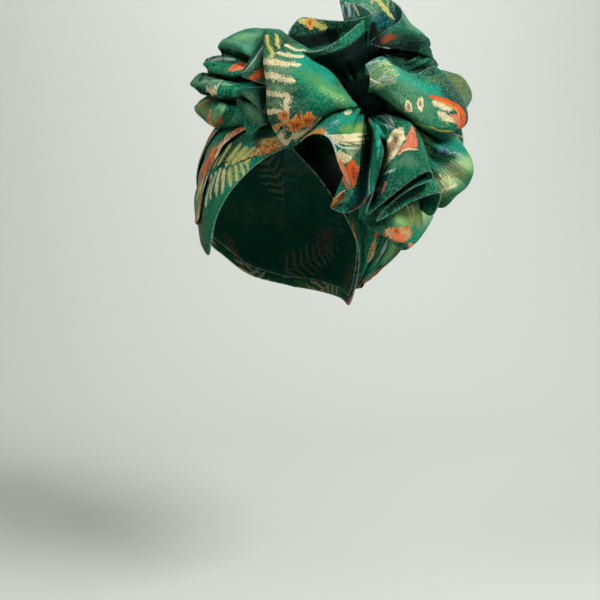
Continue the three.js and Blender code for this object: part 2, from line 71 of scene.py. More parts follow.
# The hem of the wrap, as (bearing, height): 0 is the bearing of the brow.
HEM = [
    (-180, -72), (-150, -60), (-120, -34), (-90, -16), (-72, -22), (-60, -28), (-54, -12), (-46, 12),
    (-32, 37), (-14, 56), (4, 66), (22, 45), (38, 17), (52, -6), (66, -30), (76, -62), (90, -80),
    (120, -78), (150, -74), (180, -72),
]

# Bands lap each other over the temples. A row gives the bearing and a band's lower and upper edge.
BANDS = {
    "inner": [
        (5, 63, 84), (-14, 51, 88), (-32, 30, 85), (-46, 4, 76), (-54, -18, 66),
        (-60, -32, 56), (-72, -26, 44), (-90, -20, 38), (-120, -38, 26), (-150, -64, 0),
        (-187.9, -76, -26),
    ],
    "middle": [
        (-12, 79, 94), (-32, 75, 95), (-46, 65, 93), (-56, 50, 88), (-61, 28, 82),
        (-67, 0, 76), (-90, -8, 70), (-120, -18, 62), (-150, -42, 40), (-190, -66, 14),
        (-222, -72, -20), (-246, -74, -44),
    ],
    "outer": [
        (-34, 91, 99), (-50, 86, 99), (-64, 76, 98), (-78, 60, 96), (-90, 40, 95),
        (-106, 18, 94), (-130, 2, 92), (-155, -14, 86), (-190, -24, 78), (-222, -18, 66),
        (-250, 8, 54), (-262, 26, 48),
    ],
    "temple": [
        (8, 61, 84), (22, 42, 78), (38, 14, 66), (52, -9, 50), (66, -33, 36),
        (76, -65, 28), (90, -84, 22), (120, -82, 10), (172, -76, -10),
    ],
}

# The gathers, roll by roll, as (height, reach) at the front, left, rear and right of the head.
Roll = namedtuple("Roll", "front left rear right sway")
GATHERS = [
    Roll((86, 61), (80, 47), (74, 76), (87, 58), 0),
    Roll((88, 72), (85, 58), (81, 85), (90, 64), 20),
    Roll((97, 80), (101, 69), (98, 93), (99, 66), 70),
    Roll((105, 72), (112, 56), (109, 80), (105, 58), 10),
    Roll((111, 79), (124, 73), (122, 89), (112, 61), 120),
    Roll((117, 66), (133, 50), (132, 70), (118, 50), 40),
    Roll((126, 69), (142, 60), (142, 74), (125, 51), 90),
    Roll((131, 54), (147, 38), (149, 54), (130, 40), 150),
    Roll((147, 54), (156, 46), (159, 55), (139, 38), 60),
    Roll((166, 30), (169, 22), (169, 28), (158, 22), 0),
]

# Pressed pleats over the front of the gathers, each with its tip and the two ends of its root.
Corner = namedtuple("Corner", "x out height")
PLEATS = {
    "crown_pleat": [Corner(-36, 70, 125), Corner(-14, 42, 166), Corner(-9, 84, 116)],
    "temple_pleat_upper": [Corner(-39, 76, 114), Corner(-10, 84, 116), Corner(-14, 88, 94)],
    "temple_pleat_lower": [Corner(-40, 72, 108), Corner(-6, 88, 90), Corner(-29, 74, 74)],
}

# The puff over the brow, in upright sections with (out, height) points.
Section = namedtuple("Section", "foot_side side foot low high top")
PUFF = [
    Section(1, -6, (84, 71), (84, 94), (76, 124), (40, 157)),
    Section(3, -13, (93, 65), (101, 88), (92, 124), (48, 167)),
    Section(6, 0, (95, 63), (113, 90), (106, 125), (52, 166)),
    Section(13, 16, (99, 67), (119, 93), (113, 121), (60, 155)),
    Section(26, 32, (106, 79), (117, 98), (108, 117), (68, 143)),
    Section(43, 48, (104, 91), (107, 100), (100, 111), (78, 125)),
    Section(58, 60, (94, 98), (94, 99), (90, 103), (82, 107)),
]

# Ruffles, fold by fold along their free edge, as seen from the front round their heart: the edge's
# bearing, reach and how far out it stands, then how far the cloth half way there turns and swells,
# and its reach.
TOP_RUFFLE = [
    (-3, 66, 70, 0, 6, 36), (-30, 54, 84, 2, 6, 32), (-49, 58, 88, 0, 2, 36),
    (-56, 72, 78, -6, -4, 48), (-52, 87, 58, -4, -8, 56), (-39, 91, 42, -2, -12, 58),
    (-28, 79, 36, -4, -14, 54), (-12, 70, 42, -2, -12, 46), (3, 73, 57, 0, -6, 42),
    (-5, 83, 38, 0, -6, 50), (-14, 91, 22, 0, -6, 54), (-8, 96, 10, 0, -8, 58),
    (7, 97, 6, 4, -8, 60), (20, 90, 18, 14, -10, 70), (24, 76, 42, 20, -12, 74),
    (14, 58, 62, 34, -12, 74), (3, 46, 71, 48, -12, 71), (26, 47, 70, 32, -10, 68),
    (41, 58, 60, 18, -6, 64), (51, 67, 46, 8, -2, 60), (65, 72, 36, 4, 0, 62),
    (58, 60, 46, 8, 2, 52), (41, 50, 56, 20, 2, 42), (24, 40, 64, 30, 4, 26),
]
FAN = [
    (237, 74, 99, 4, 22, 43), (237, 58, 112, 2, 24, 34), (225, 49, 122, 0, 24, 30),
    (204, 63, 126, 0, 26, 38), (191, 83, 125, 0, 24, 50), (199, 98, 111, -2, 20, 56),
    (191, 99, 110, -2, 20, 56), (185, 92, 114, -4, 16, 54), (179, 79, 130, -8, 28, 46),
    (181, 99, 109, -8, 12, 58), (173, 89, 119, -10, 18, 50), (162, 81, 118, -18, 18, 46),
    (150, 78, 108, -22, 12, 44), (140, 82, 96, -16, 6, 50), (141, 90, 82, -12, 0, 54),
    (154, 86, 97, -10, 2, 52), (167, 91, 104, -8, 4, 54), (176, 105, 101, -6, 4, 62),
    (167, 101, 90, -6, 0, 60), (156, 98, 80, -8, -2, 58), (142, 105, 74, -8, -4, 62),
    (150, 119, 60, -10, -8, 70), (154, 106, 48, -10, -8, 64),
]
BACK_RUFFLE = [
    (109, 86, 30, 0, 2, 58), (114, 94, 46, 0, 12, 66), (119, 110, 44, 0, 10, 70),
    (124, 117, 52, 0, 10, 76), (130, 121, 46, 0, 8, 78), (136, 119, 50, 0, 8, 78),
    (143, 121, 42, 0, 2, 76), (148, 112, 28, 0, -4, 70),
]
UNDER_RUFFLE = [
    (184, 104, 84, 0, 4, 76), (177, 113, 87, 0, 6, 80), (171, 124, 73, 0, 2, 86),
    (166, 137, 68, 0, 6, 92), (160, 136, 54, 0, 0, 92), (155, 130, 48, 0, 4, 90),
    (149, 124, 34, 0, 0, 86),
]
REAR_RUFFLE = [
    (66, 70, 18, 0, -2, 48), (71, 78, 26, 0, 2, 52), (77, 93, 16, 0, 0, 58),
    (88, 102, 4, 0, -6, 60), (100, 93, 10, 0, -4, 56), (114, 104, -2, 0, -10, 60),
    (128, 100, 8, 0, -8, 62), (142, 104, -6, 0, -12, 64),
]
SIDE_DRAPE = [
    (4, 94, 50, 3, 8, 52), (10, 104, 58, 5, 8, 56), (14, 108, 42, 8, 2, 60),
    (21, 114, 48, 10, 8, 64), (23, 118, 28, 13, 2, 68), (27, 122, 14, 13, 8, 76),
    (22, 123, -8, 16, 2, 72), (15, 119, -24, 16, -2, 66), (10, 113, -36, 14, -6, 60),
]
Curl = namedtuple("Curl", "bearing reach out rise sink edge_up edge_back")
RIGHT_RUFFLE = [
    Curl(0, 8, 98, 16, 0, 3, 5), Curl(76, 16, 104, 25, 2, 4, 12), Curl(108, 30, 103, 31, 4, 5, 16),
    Curl(116, 52, 94, 36, 6, 6, 20), Curl(112, 75, 80, 47, 7, 9, 20), Curl(105, 89, 62, 27, 4, 5, 16),
    Curl(100, 91, 42, 16, 0, 6, 12), Curl(97, 82, 22, 12, 0, 5, 8),
]

# The photograph's viewpoint, a little above the brow and looking slightly down, and its frame.
EYE = np.array([16, -1000, 70])
AIM = np.array([16, 0, -81])
FRAME = 600
SENSOR = 36
LENS = 63.2
# How far a motif may shrink or grow where the cloth slants or leans toward the viewpoint.
PIXELS_PER_MM = (0.4, 1.6)
# Each piece's grid with the places that its print is read at, filled in as its sheet is made.
PRINT_GRIDS = {}
# These are closed round the head or the neck, and end in a point.
RINGS = ("head_wrap", "crown_gathers", "rosette_neck")
# These wrap the head, so one side of them faces out all the way round.
WORN_ROUND = (
    "head_wrap", "crown_gathers", "brow_band_inner", "brow_band_middle", "brow_band_outer",
    "temple_band")
HEAD_MIDDLE = np.array([0, 0, 40])
# How squarely cloth faces the viewpoint, as a cosine, where strokes and colours start to show on it,
# and how much more it takes until they show in full.
PRESS_FACING = (0.02, 0.25)
PRINT_FACING = (0.04, 0.26)
# How wide a streak is at its two ends, as a share of its width in the middle.
STREAK_ENDS = 0.35
# The share of the way up the gathers where the crown's own lobe starts, in a crease.
TOP_LOBE = 0.7
# Which edges show a pale line, where it isn't the free one, and a place too far in to show it.
TRIM = {
    "head_wrap": "hem", "brow_band_inner": "hem", "brow_band_middle": "hem", "brow_band_outer": "all",
    "temple_band": "hem", "crown_gathers": "none", "rosette_neck": "hem", "ruffle_under": "none",
    "ruffle_back": "none", "side_drape": "none",
    "crown_pleat": "all", "temple_pleat_upper": "all", "temple_pleat_lower": "all",
}
UNTRIMMED = 9
# The pieces that each piece lies on, where it doesn't spring from the rosette's neck.
RESTS_ON = {
    "head_wrap": [], "brow_band_inner": ["head_wrap"], "brow_band_middle": ["brow_band_inner"],
    "brow_band_outer": ["brow_band_middle"], "temple_band": ["head_wrap"],
    "crown_gathers": ["head_wrap", "brow_band_outer"], "crown_pleat": ["crown_gathers"],
    "temple_pleat_upper": ["crown_gathers"], "temple_pleat_lower": ["crown_gathers"],
    "crown_puff": ["crown_gathers"], "rosette_neck": ["head_wrap"], "side_drape": ["temple_band"],
}
# How much of the print comes through on the cloth's wrong side, where that shows.
WRONG_SIDE_SHARE = {"head_wrap": 0.16}
# Scattered motifs set in behind this stretch of depth, out of the photograph's sight.
FREE_PRINT = (-25, 10)


def seen(points):
    """Where points in millimetres show in the photograph's frame, in pixels across and down."""
    ahead = (AIM - EYE) / np.linalg.norm(AIM - EYE)
    right = np.array([1.0, 0, 0])
    upward = np.cross(right, ahead)
    from_eye = points - EYE
    depth = from_eye @ ahead
    zoom = FRAME * LENS / SENSOR
    return FRAME / 2 + zoom * (from_eye @ right) / depth, FRAME / 2 - zoom * (from_eye @ upward) / depth


def facing(node, grid, normal, least, span):
    """How well each point of a grid faces the photograph's viewpoint: 1 square on, 0 turned away."""
    toward = EYE - grid
    cosine = (toward * normal).sum(-1) / np.linalg.norm(toward, axis=-1)
    if node in WORN_ROUND:
        cosine = cosine * np.sign((normal * (grid - HEAD_MIDDLE)).sum())
    else:
        cosine = np.abs(cosine)
    return np.clip((cosine - least) / span, 0, 1)


def stroke_distance(points, px, py):
    """How far pixels lie aside of and beyond a smooth line, and their share of the way along it.

    Aside is below zero on the line's left hand.
    """
    steps = 40
    line = smooth([(x, y, 0) for x, y in points], steps)[:, :2]
    off = np.stack([px, py], -1)[..., None, :] - line
    nearest = np.argmin((off**2).sum(-1), axis=-1)
    off = np.take_along_axis(off, nearest[..., None, None], axis=-2)[..., 0, :]
    way = np.gradient(line, axis=0)[nearest]
    way = way / np.linalg.norm(way, axis=-1, keepdims=True)
    aside = way[..., 0] * off[..., 1] - way[..., 1] * off[..., 0]
    return aside, (off * way).sum(-1), nearest / steps


def shown(tree, node, at, to, width):
    """How the cloth shows under a motif: the motif's length in pixels, and an affine fit.

    The fit's two rows turn u, v and 1 on the cloth into pixels along and across the motif.
    """
    grid, u, v = PRINT_GRIDS[node]
    px, py = seen(grid)
    ahead = np.subtract(to, at) / np.hypot(*np.subtract(to, at))
    length = float(np.hypot(*np.subtract(to, at)))
    along = (px - at[0]) * ahead[0] + (py - at[1]) * ahead[1]
    aside = (py - at[1]) * ahead[0] - (px - at[0]) * ahead[1]
    past = np.maximum(0, np.maximum(-along, along - length))
    eye = EYE.tolist()
    hidden_by, enough = 2.0, 12
    for reach in (max(width / 2, 2.5), width / 2 + 4, width / 2 + 9):
        found = []
        for i, j in np.argwhere(np.hypot(past, aside) < reach):
            way = grid[i, j] - EYE
            far = np.linalg.norm(way)
            hit = tree.ray_cast(eye, (way / far).tolist(), far + 1)[3]
            if hit is None or hit > far - hidden_by:
                found.append((i, j))
        if len(found) > enough:
            break
    i, j = np.array(found).T
    cloth = np.stack([u[i, j], v[i, j]], -1)
    middle = cloth.mean(0)
    picture = np.stack([along[i, j], aside[i, j]], -1)
    centre = picture.mean(0)
    fit, *_ = np.linalg.lstsq(cloth - middle, picture - centre, rcond=None)
    turn, size, back = np.linalg.svd(fit.T)
    fit = turn @ np.diag(np.clip(size, *PIXELS_PER_MM)) @ back
    offset = centre - fit @ middle
    return length, (*fit[0], offset[0], *fit[1], offset[1])


# Folds and dents pressed into the cloth, by where they show in the photograph: the kind, its depth
# in millimetres, and its width and points in pixels. Walking along a lap from its first point, the
# cloth on the left hand lies over the cloth on the right.
STROKES = {
    "crown_gathers": [
        ("lap", 8.0, 5.0, [(219, 50), (228, 49), (240, 52), (256, 60)]),
        ("lap", 7.0, 5.0, [(200, 73), (214, 73), (232, 75), (258, 79)]),
        ("ridge", 5.0, 5.0, [(204, 66), (214, 60), (230, 60), (244, 65)]),
        ("ridge", 5.5, 5.0, [(191, 78), (204, 80), (220, 86), (246, 88)]),
        ("lap", 7.0, 5.0, [(192, 86), (208, 92), (230, 96), (256, 94)]),
        ("ridge", 4.0, 4.0, [(228, 100), (220, 112), (212, 127)]),
        ("dent", 4.0, 4.0, [(240, 102), (231, 114), (222, 129)]),
        ("dent", 3.5, 3.5, [(214, 98), (207, 108), (205, 120)]),
    ],
    "crown_puff": [
        ("dent", 2.5, 9.0, [(300, 62), (318, 72), (330, 84), (342, 92)]),
        ("ridge", 2.5, 7.0, [(318, 96), (334, 100), (350, 104)]),
        ("dent", 2.0, 8.0, [(276, 100), (292, 96), (306, 104)]),
        ("ridge", 1.6, 5.0, [(268, 50), (272, 80), (282, 110)]),
    ],
    "brow_band_inner": [
        ("lap", 1.4, 4.0, [(196, 214), (202, 192), (214, 174), (232, 158)]),
        ("dent", 1.2, 4.0, [(206, 226), (212, 204), (226, 184), (246, 166)]),
    ],
    "brow_band_middle": [("lap", 1.6, 4.0, [(198, 190), (206, 168), (220, 150), (240, 136)])],
    "rosette_fan": [
        ("dent", 2.0, 4.0, [(344, 122), (352, 146), (356, 172), (352, 196)]),
        ("ridge", 2.2, 3.0, [(371, 112), (377, 130), (374, 152), (369, 176)]),
        ("dent", 2.6, 3.0, [(366, 116), (369, 140), (364, 168), (358, 190)]),
        ("dent", 2.4, 3.0, [(382, 116), (384, 140), (380, 168)]),
        ("ridge", 1.6, 5.0, [(398, 120), (404, 144), (408, 166)]),
    ],
    "ruffle_right": [
        ("dent", 2.0, 6.0, [(384, 84), (402, 96), (420, 108)]),
        ("ridge", 1.6, 5.0, [(392, 70), (412, 84), (430, 98)]),
        ("lap", 1.6, 4.0, [(414, 122), (432, 128), (452, 128)]),
    ],
    "ruffle_back": [
        ("lap", 3.0, 5.0, [(414, 146), (436, 150), (462, 160)]),
        ("dent", 2.5, 5.0, [(426, 176), (444, 178), (462, 176)]),
        ("ridge", 2.0, 5.0, [(430, 196), (444, 192), (456, 186)]),
    ],
    "side_drape": [
        ("ridge", 2.4, 3.0, [(352, 296), (370, 270), (384, 240)]),
        ("dent", 2.4, 3.0, [(356, 286), (364, 262), (372, 242)]),
        ("dent", 2.0, 3.0, [(360, 292), (376, 270), (392, 244)]),
    ],
}


def pressed(node, grid):
    """Presses a piece's strokes into its grid where it faces the photograph's viewpoint."""
    ends_fade, past_end, lap_edge = 0.25, 3, 0.8
    for kind, depth, width, points in STROKES.get(node, []):
        normal = normals_of(grid, node in RINGS)
        px, py = seen(grid)
        toward = ((EYE - grid) * normal).sum(-1)
        flip = np.sign(np.where(np.abs(toward) < 1e-9, 1, toward))
        turned_to = facing(node, grid, normal, *PRESS_FACING)
        aside, beyond, share = stroke_distance(points, px, py)
        fade = np.clip(np.minimum(share, 1 - share) / ends_fade, 0, 1) ** 0.7
        fade = fade * np.exp(-(beyond / past_end) ** 2) * turned_to
        if kind == "lap":
            profile = -np.tanh(aside / lap_edge) * np.exp(-np.abs(aside) / width)
        else:
            profile = np.exp(-((aside / width) ** 2)) * (1 if kind == "ridge" else -1)
        grid = grid + normal * (flip * fade * profile * depth)[..., None]
    return grid


def smooth(points, steps):
    """A centripetal curve through points (n, ..., 3), read at even steps of the table's rows."""
    points = np.asarray(points, float)
    before = 2 * points[:1] - points[1:2]
    after = 2 * points[-1:] - points[-2:-1]
    padded = np.concatenate([before, points, after])
    at = np.linspace(0, len(points) - 1, steps + 1)
    index = np.minimum(at.astype(int), len(points) - 2)
    share = (at - index).reshape((-1,) + (1,) * (points.ndim - 1))
    p0, p1, p2, p3 = (padded[index + k] for k in range(4))

    def spacing(a, b):
        return np.maximum(np.sqrt(np.linalg.norm(b - a, axis=-1, keepdims=True)), 1e-4)

    d0, d1, d2 = spacing(p0, p1), spacing(p1, p2), spacing(p2, p3)
    leave = ((p1 - p0) / d0 - (p2 - p0) / (d0 + d1) + (p2 - p1) / d1) * d1
    arrive = ((p2 - p1) / d1 - (p3 - p1) / (d1 + d2) + (p3 - p2) / d2) * d1
    square = 3 * (p2 - p1) - 2 * leave - arrive
    cube = 2 * (p1 - p2) + leave + arrive
    return p1 + share * (leave + share * (square + share * cube))


def smooth_grid(rows, across, along):
    """A smooth grid of points through rows of control points."""
    fine = smooth(np.swapaxes(np.asarray(rows, float), 0, 1), along)
    return smooth(np.swapaxes(fine, 0, 1), across)


def on_head(bearing, height):
    """A point on the head at a bearing from the face and a height, without any cloth."""
    low = np.minimum(0, height) / HEAD.neck
    rounding = np.sqrt(np.maximum(0, 1 - np.maximum(0, height / HEAD.crown) ** 2))
    angle = np.radians(bearing)
    side = HEAD.half_width * (1 - HEAD.side_taper * low**2)
    back = HEAD.back * (1 - HEAD.back_taper * low**2)
    front = HEAD.front * (1 - HEAD.side_taper * low**2)
    length = np.where(np.cos(angle) > 0, front, back)
    x, y = side * rounding * np.sin(angle), -length * rounding * np.cos(angle)
    return np.stack([x, y, height + 0 * angle], -1)


def over_head(bearing, height, layers):
    """The same point lifted off the head by a number of cloth layers."""
    nudge, short_of_crown = 1, 0.2
    aside = on_head(bearing + nudge, height) - on_head(bearing - nudge, height)
    above = on_head(bearing, np.minimum(height + nudge, HEAD.crown - short_of_crown))
    normal = np.cross(aside, above - on_head(bearing, height - nudge))
    normal /= np.linalg.norm(normal, axis=-1, keepdims=True)
    return on_head(bearing, height) + normal * (CLEAR + layers * LAYER)


def around(heart, bearing, reach, out):
    """A point seen at a bearing and reach round a heart, standing out in front of the head."""
    angle = np.radians(bearing)
    return np.array([heart[0] + reach * np.sin(angle), -out, heart[2] + reach * np.cos(angle)])


def lengths(grid, axis):
    """The running length along one way of a grid."""
    steps = np.linalg.norm(np.diff(grid, axis=axis), axis=-1)
    start = np.zeros_like(np.take(steps, [0], axis=axis))
    return np.cumsum(np.concatenate([start, steps], axis=axis), axis=axis)


def normals_of(grid, ring):
    """The normal at each point of a grid."""
    if ring:
        aside = np.roll(grid, -1, axis=0) - np.roll(grid, 1, axis=0)
    else:
        aside = np.gradient(grid, axis=0)
    normal = np.cross(aside, np.gradient(grid, axis=1))
    size = np.linalg.norm(normal, axis=-1, keepdims=True)
    return np.where(size > 1e-9, normal / np.maximum(size, 1e-9), 0)


def looped(grid, ring):
    """A grid with its first row repeated at its end where it closes in a ring."""
    return np.concatenate([grid, grid[:1]]) if ring else grid


def with_rims(grid, ring):
    """Adds a line of points close inside each edge, so that the cloth's edge can be rounded."""
    inset = 0.5

    def between(a, b):
        gap = np.linalg.norm(b - a, axis=-1, keepdims=True)
        return a + (b - a) * np.minimum(inset / np.maximum(gap, 1e-6), 0.5)

    near = between(grid[:, 0], grid[:, 1])[:, None]
    far = between(grid[:, -1], grid[:, -2])[:, None]
    grid = np.concatenate([grid[:, :1], near, grid[:, 1:-1], far, grid[:, -1:]], axis=1)
    if ring:
        return grid
    first = between(grid[0], grid[1])[None]
    last = between(grid[-1], grid[-2])[None]
    return np.concatenate([grid[:1], first, grid[1:-1], last, grid[-1:]], axis=0)


def every(count, stride):
    """The places from 0 up to count at a stride, always with the last one."""
    return np.unique(np.append(np.arange(0, count, stride), count - 1))


def cloth_tree(grids):
    """All the cloth as one thinned surface that rays can meet."""
    points, faces, first = [], [], 0
    for node, grid in grids.items():
        whole = looped(grid, node in RINGS)
        thinned = whole[np.ix_(every(whole.shape[0], 2), every(whole.shape[1], 2))]
        rows, columns = thinned.shape[:2]
        i, j = np.meshgrid(np.arange(rows - 1), np.arange(columns - 1), indexing="ij")
        corner = (first + i * columns + j).ravel()
        faces += np.stack([corner, corner + columns, corner + columns + 1, corner + 1], -1).tolist()
        points.append(thinned.reshape(-1, 3))
        first += rows * columns
    return BVHTree.FromPolygons(np.concatenate(points).tolist(), faces)


def open_sky(tree, grid, normal):
    """How open each point of a grid lies on one side: 1 in the open, 0 deep between folds. It sets where
    the colour is painted dark as shade.
    """
    reach, rays, lift, stride, turn_a_ray = 45, 20, 1.8, 3, 2.4
    not_a_normal = (0.31, 0.52, 0.79)
    i, j = every(grid.shape[0], stride), every(grid.shape[1], stride)
    up = normal[np.ix_(i, j)].reshape(-1, 3)
    start = grid[np.ix_(i, j)].reshape(-1, 3) + up * lift
    aside = np.cross(up, not_a_normal)
    aside /= np.maximum(np.linalg.norm(aside, axis=-1, keepdims=True), 1e-6)
    ahead = np.cross(up, aside)
    turn = turn_a_ray * np.arange(rays)
    spread = np.sqrt((np.arange(rays) + 0.5) / rays)
    rays_out = (
        aside[:, None] * (spread * np.cos(turn))[:, None]
        + ahead[:, None] * (spread * np.sin(turn))[:, None]
        + up[:, None] * np.sqrt(1 - spread**2)[:, None])
    found = []
    for point, directions in zip(start.tolist(), rays_out.tolist()):
        far = [tree.ray_cast(point, way, reach)[3] for way in directions]
        found.append(sum(1 if d is None else d / reach for d in far) / rays)
    found = np.reshape(found, (len(i), len(j)))
    wide = np.stack([np.interp(np.arange(grid.shape[1]), j, row) for row in found])
    return np.stack([np.interp(np.arange(grid.shape[0]), i, column) for column in wide.T], axis=1)


def stroke_strength(aside, beyond, width, strength):
    """How strongly a stroke of colour or of painted shade lies on each point: even within its width, then
    fading.
    """
    return strength * np.exp(-((aside**2 + beyond**2) / width**2) ** 1.5)


def washed(rows, grid, in_view, slim_end):
    """The colour that rows of a table lay over each point of a grid, with its strength."""
    px, py = seen(grid)
    color, strength = np.zeros(grid.shape), np.zeros(grid.shape[:2] + (1,))
    for ink, opacity, width, points in rows:
        aside, beyond, share = stroke_distance(points, px, py)
        width = width * (slim_end + (1 - slim_end) * np.sin(np.pi * share) ** 0.5)
        mask = stroke_strength(aside, beyond, width, opacity)[..., None]
        total = mask + strength * (1 - mask)
        color = (np.array(ink) * mask + color * strength * (1 - mask)) / np.maximum(total, 1e-6)
        strength = total
    return np.concatenate([color, strength * in_view[..., None]], axis=-1)


def lightness(node, grid):
    """How light each point of a grid stays under the painted shade strokes."""
    px, py = seen(grid)
    unshaded = np.ones(grid.shape[:2])
    for strength, width, points in SHADES.get(node, []):
        aside, beyond, _ = stroke_distance(points, px, py)
        unshaded *= 1 - stroke_strength(aside, beyond, width, strength)
    return unshaded


def linked(name, data):
    """A new object in the scene."""
    made = bpy.data.objects.new(name, data)
    bpy.context.scene.collection.objects.link(made)
    return made


def aimed(made, place, aim):
    """Puts a camera or a lamp at a place, turned toward another."""
    made.location = place
    made.rotation_euler = (Vector(aim) - Vector(place)).to_track_quat("-Z", "Y").to_euler()


def closed_faces(rows, columns, ring):
    """The faces of a closed sheet round a grid, and the row and column at each face's corners."""
    count = rows * columns
    run = np.arange(rows if ring else rows - 1)
    i, j = np.meshgrid(run, np.arange(columns - 1), indexing="ij")
    row = np.stack([i, i + 1, i + 1, i], -1).reshape(-1, 4)
    column = np.stack([j, j, j + 1, j + 1], -1).reshape(-1, 4)
    number = (row % rows) * columns + column
    faces = [number, number[:, ::-1] + count]
    corner_rows, corner_columns = [row, row[:, ::-1]], [column, column[:, ::-1]]

    def rim(a_row, a_column, b_row, b_column):
        a, b = (a_row % rows) * columns + a_column, (b_row % rows) * columns + b_column
        faces.append(np.stack([a, b, b + count, a + count], -1))
        corner_rows.append(np.stack([a_row, b_row, b_row, a_row], -1))
        corner_columns.append(np.stack([a_column, b_column, b_column, a_column], -1))

    rim(run + 1, 0 * run, run, 0 * run)
    if not ring:
        rim(run, 0 * run + columns - 1, run + 1, 0 * run + columns - 1)
        run = np.arange(columns - 1)
        rim(0 * run, run, 0 * run, run + 1)
        rim(0 * run + rows - 1, run + 1, 0 * run + rows - 1, run)
    return np.concatenate(faces), np.concatenate(corner_rows), np.concatenate(corner_columns)


def print_places(node, u, v):
    """Where the print is read at each point: along and across the cloth, or round the crown's tip."""
    if node != "crown_gathers":
        return u, v
    rows, columns = u.shape
    first = int(TOP_LOBE * (columns - 1))
    angle = 2 * np.pi * np.arange(rows)[:, None] / (rows - 1)
    from_tip = v[:, -1:] - v[:, first:]
    print_u, print_v = u.copy(), v.copy()
    print_u[:, first:], print_v[:, first:] = from_tip * np.sin(angle), from_tip * np.cos(angle)
    return print_u, print_v


def lay(mesh, name, values):
    """Lays a number on each point of a mesh, or a colour with its strength."""
    kind, key = ("FLOAT", "value") if values.ndim == 1 else ("FLOAT_COLOR", "color")
    layer = mesh.attributes.new(name, kind, "POINT")
    layer.data.foreach_set(key, values.ravel().astype(np.float32))


def lay_print(mesh, node, grid, normal, corners, tree):
    """Lays on a sheet the places that its print is read at, what else the print is drawn from, and its
    painted shade.
    """
    ring = node in RINGS
    rows, columns = grid.shape[:2]
    whole = looped(grid, ring)
    across, v = lengths(whole, 0), lengths(whole, 1)
    widest = int(np.argmax(across[-1]))
    u = np.repeat(across[:, widest:widest + 1], columns, axis=1)
    print_u, print_v = print_places(node, u, v)
    PRINT_GRIDS[node] = (grid, print_u[:rows], print_v[:rows])
    layer = mesh.uv_layers.new(name="cloth")
    layer.data.foreach_set("uv", np.stack([print_u[corners], print_v[corners]], -1).ravel())

    free, hem = v[:rows, -1:] - v[:rows], v[:rows]
    ends = np.minimum(u[:rows], u[rows - 1] - u[:rows])
    every_edge = np.minimum(np.minimum(free, hem), ends)
    trims = {"free": free, "hem": hem, "all": every_edge, "none": hem + UNTRIMMED}
    lay(mesh, "edge", np.tile(trims[TRIM.get(node, "free")].ravel(), 2))
    behind = np.clip((grid[..., 1] - FREE_PRINT[0]) / (FREE_PRINT[1] - FREE_PRINT[0]), 0, 1)
    lay(mesh, "loose", np.tile(behind.ravel(), 2))
    lay(mesh, "printed", np.repeat([1.0, WRONG_SIDE_SHARE.get(node, 1.0)], rows * columns))
    in_view = facing(node, grid, normal, *PRINT_FACING)
    # Painted shade: openness between folds, times the painted shade strokes, laid for both faces; it
    # darkens the colour to near black.
    lit = 1 - (1 - lightness(node, grid)) * in_view
    painted_shade_lightness = [(open_sky(tree, grid, way) * lit).ravel() for way in (normal, -normal)]
    lay(mesh, "painted_shade_lightness", np.concatenate(painted_shade_lightness))
    for label, table, slim_end in (("wash", WASHES, 1.0), ("streak", STREAKS, STREAK_ENDS)):
        colors = washed(table.get(node, []), grid, in_view, slim_end).reshape(-1, 4)
        lay(mesh, label, np.tile(colors, (2, 1)))


def sheet(node, grid, tree):
    """A closed thin sheet of cloth round a grid of points."""
    ring = node in RINGS
    rows, columns = grid.shape[:2]
    normal = normals_of(grid, ring)
    half = np.full((rows, columns, 1), CLOTH / 2)
    half[:, 0] *= EDGE_THICK
    if ring:
        normal[:, -1] = (0, 0, 1)
    else:
        half[:, -1] *= EDGE_THICK
        half[[0, -1]] = CLOTH / 2 * EDGE_THICK
    points = np.concatenate([(grid + normal * half).reshape(-1, 3), (grid - normal * half).reshape(-1, 3)])
    faces, *corners = closed_faces(rows, columns, ring)
    mesh = bpy.data.meshes.new(node + "_cloth")
    mesh.from_pydata((points * MM).tolist(), [], faces.tolist())
    lay_print(mesh, node, grid, normal, tuple(corners), tree)
    merged = bmesh.new()
    merged.from_mesh(mesh)
    bmesh.ops.remove_doubles(merged, verts=merged.verts, dist=MERGE)
    bmesh.ops.recalc_face_normals(merged, faces=merged.faces)
    merged.to_mesh(mesh)
    merged.free()
    mesh.shade_smooth()
    return linked(node + "_cloth", mesh)


def flat_size(grid, ring):
    """The width, length and area of the cloth in a piece, in metres."""
    whole = looped(grid, ring)
    width = round(float(lengths(whole, 0)[-1].max()) * MM, 3)
    length = round(float(lengths(whole, 1).max()) * MM, 3)
    quads = np.cross(whole[1:, 1:] - whole[:-1, :-1], whole[1:, :-1] - whole[:-1, 1:])
    area = float(np.linalg.norm(quads, axis=-1).sum() / 2) * MM**2
    return width, length, max(min(area, width * length), LEAST_AREA * width * length)


def ripple(u, v, seed, length=(30, 90), lean=0.35):
    """A gentle unevenness of cloth in the range -1 to 1, from a few waves mostly across u."""
    waves = 7
    draw = np.random.default_rng(seed)
    total = np.zeros(np.broadcast(u, v).shape)
    for _ in range(waves):
        size = draw.uniform(*length)
        angle = draw.normal(0, lean)
        phase = draw.uniform(0, 2 * np.pi)
        total += np.sin(2 * np.pi * (u * np.cos(angle) + v * np.sin(angle)) / size + phase)
    return total / np.sqrt(waves) / 1.6


def crimp(grid, amount, ring=False):
    """Moves a grid's points along their normals."""
    return grid + normals_of(grid, ring) * amount[..., None]


def spans(grid):
    """How far each row lies from a grid's first one at the most, and each point from its root."""
    return lengths(grid, 0).max(axis=1)[:, None], lengths(grid, 1)


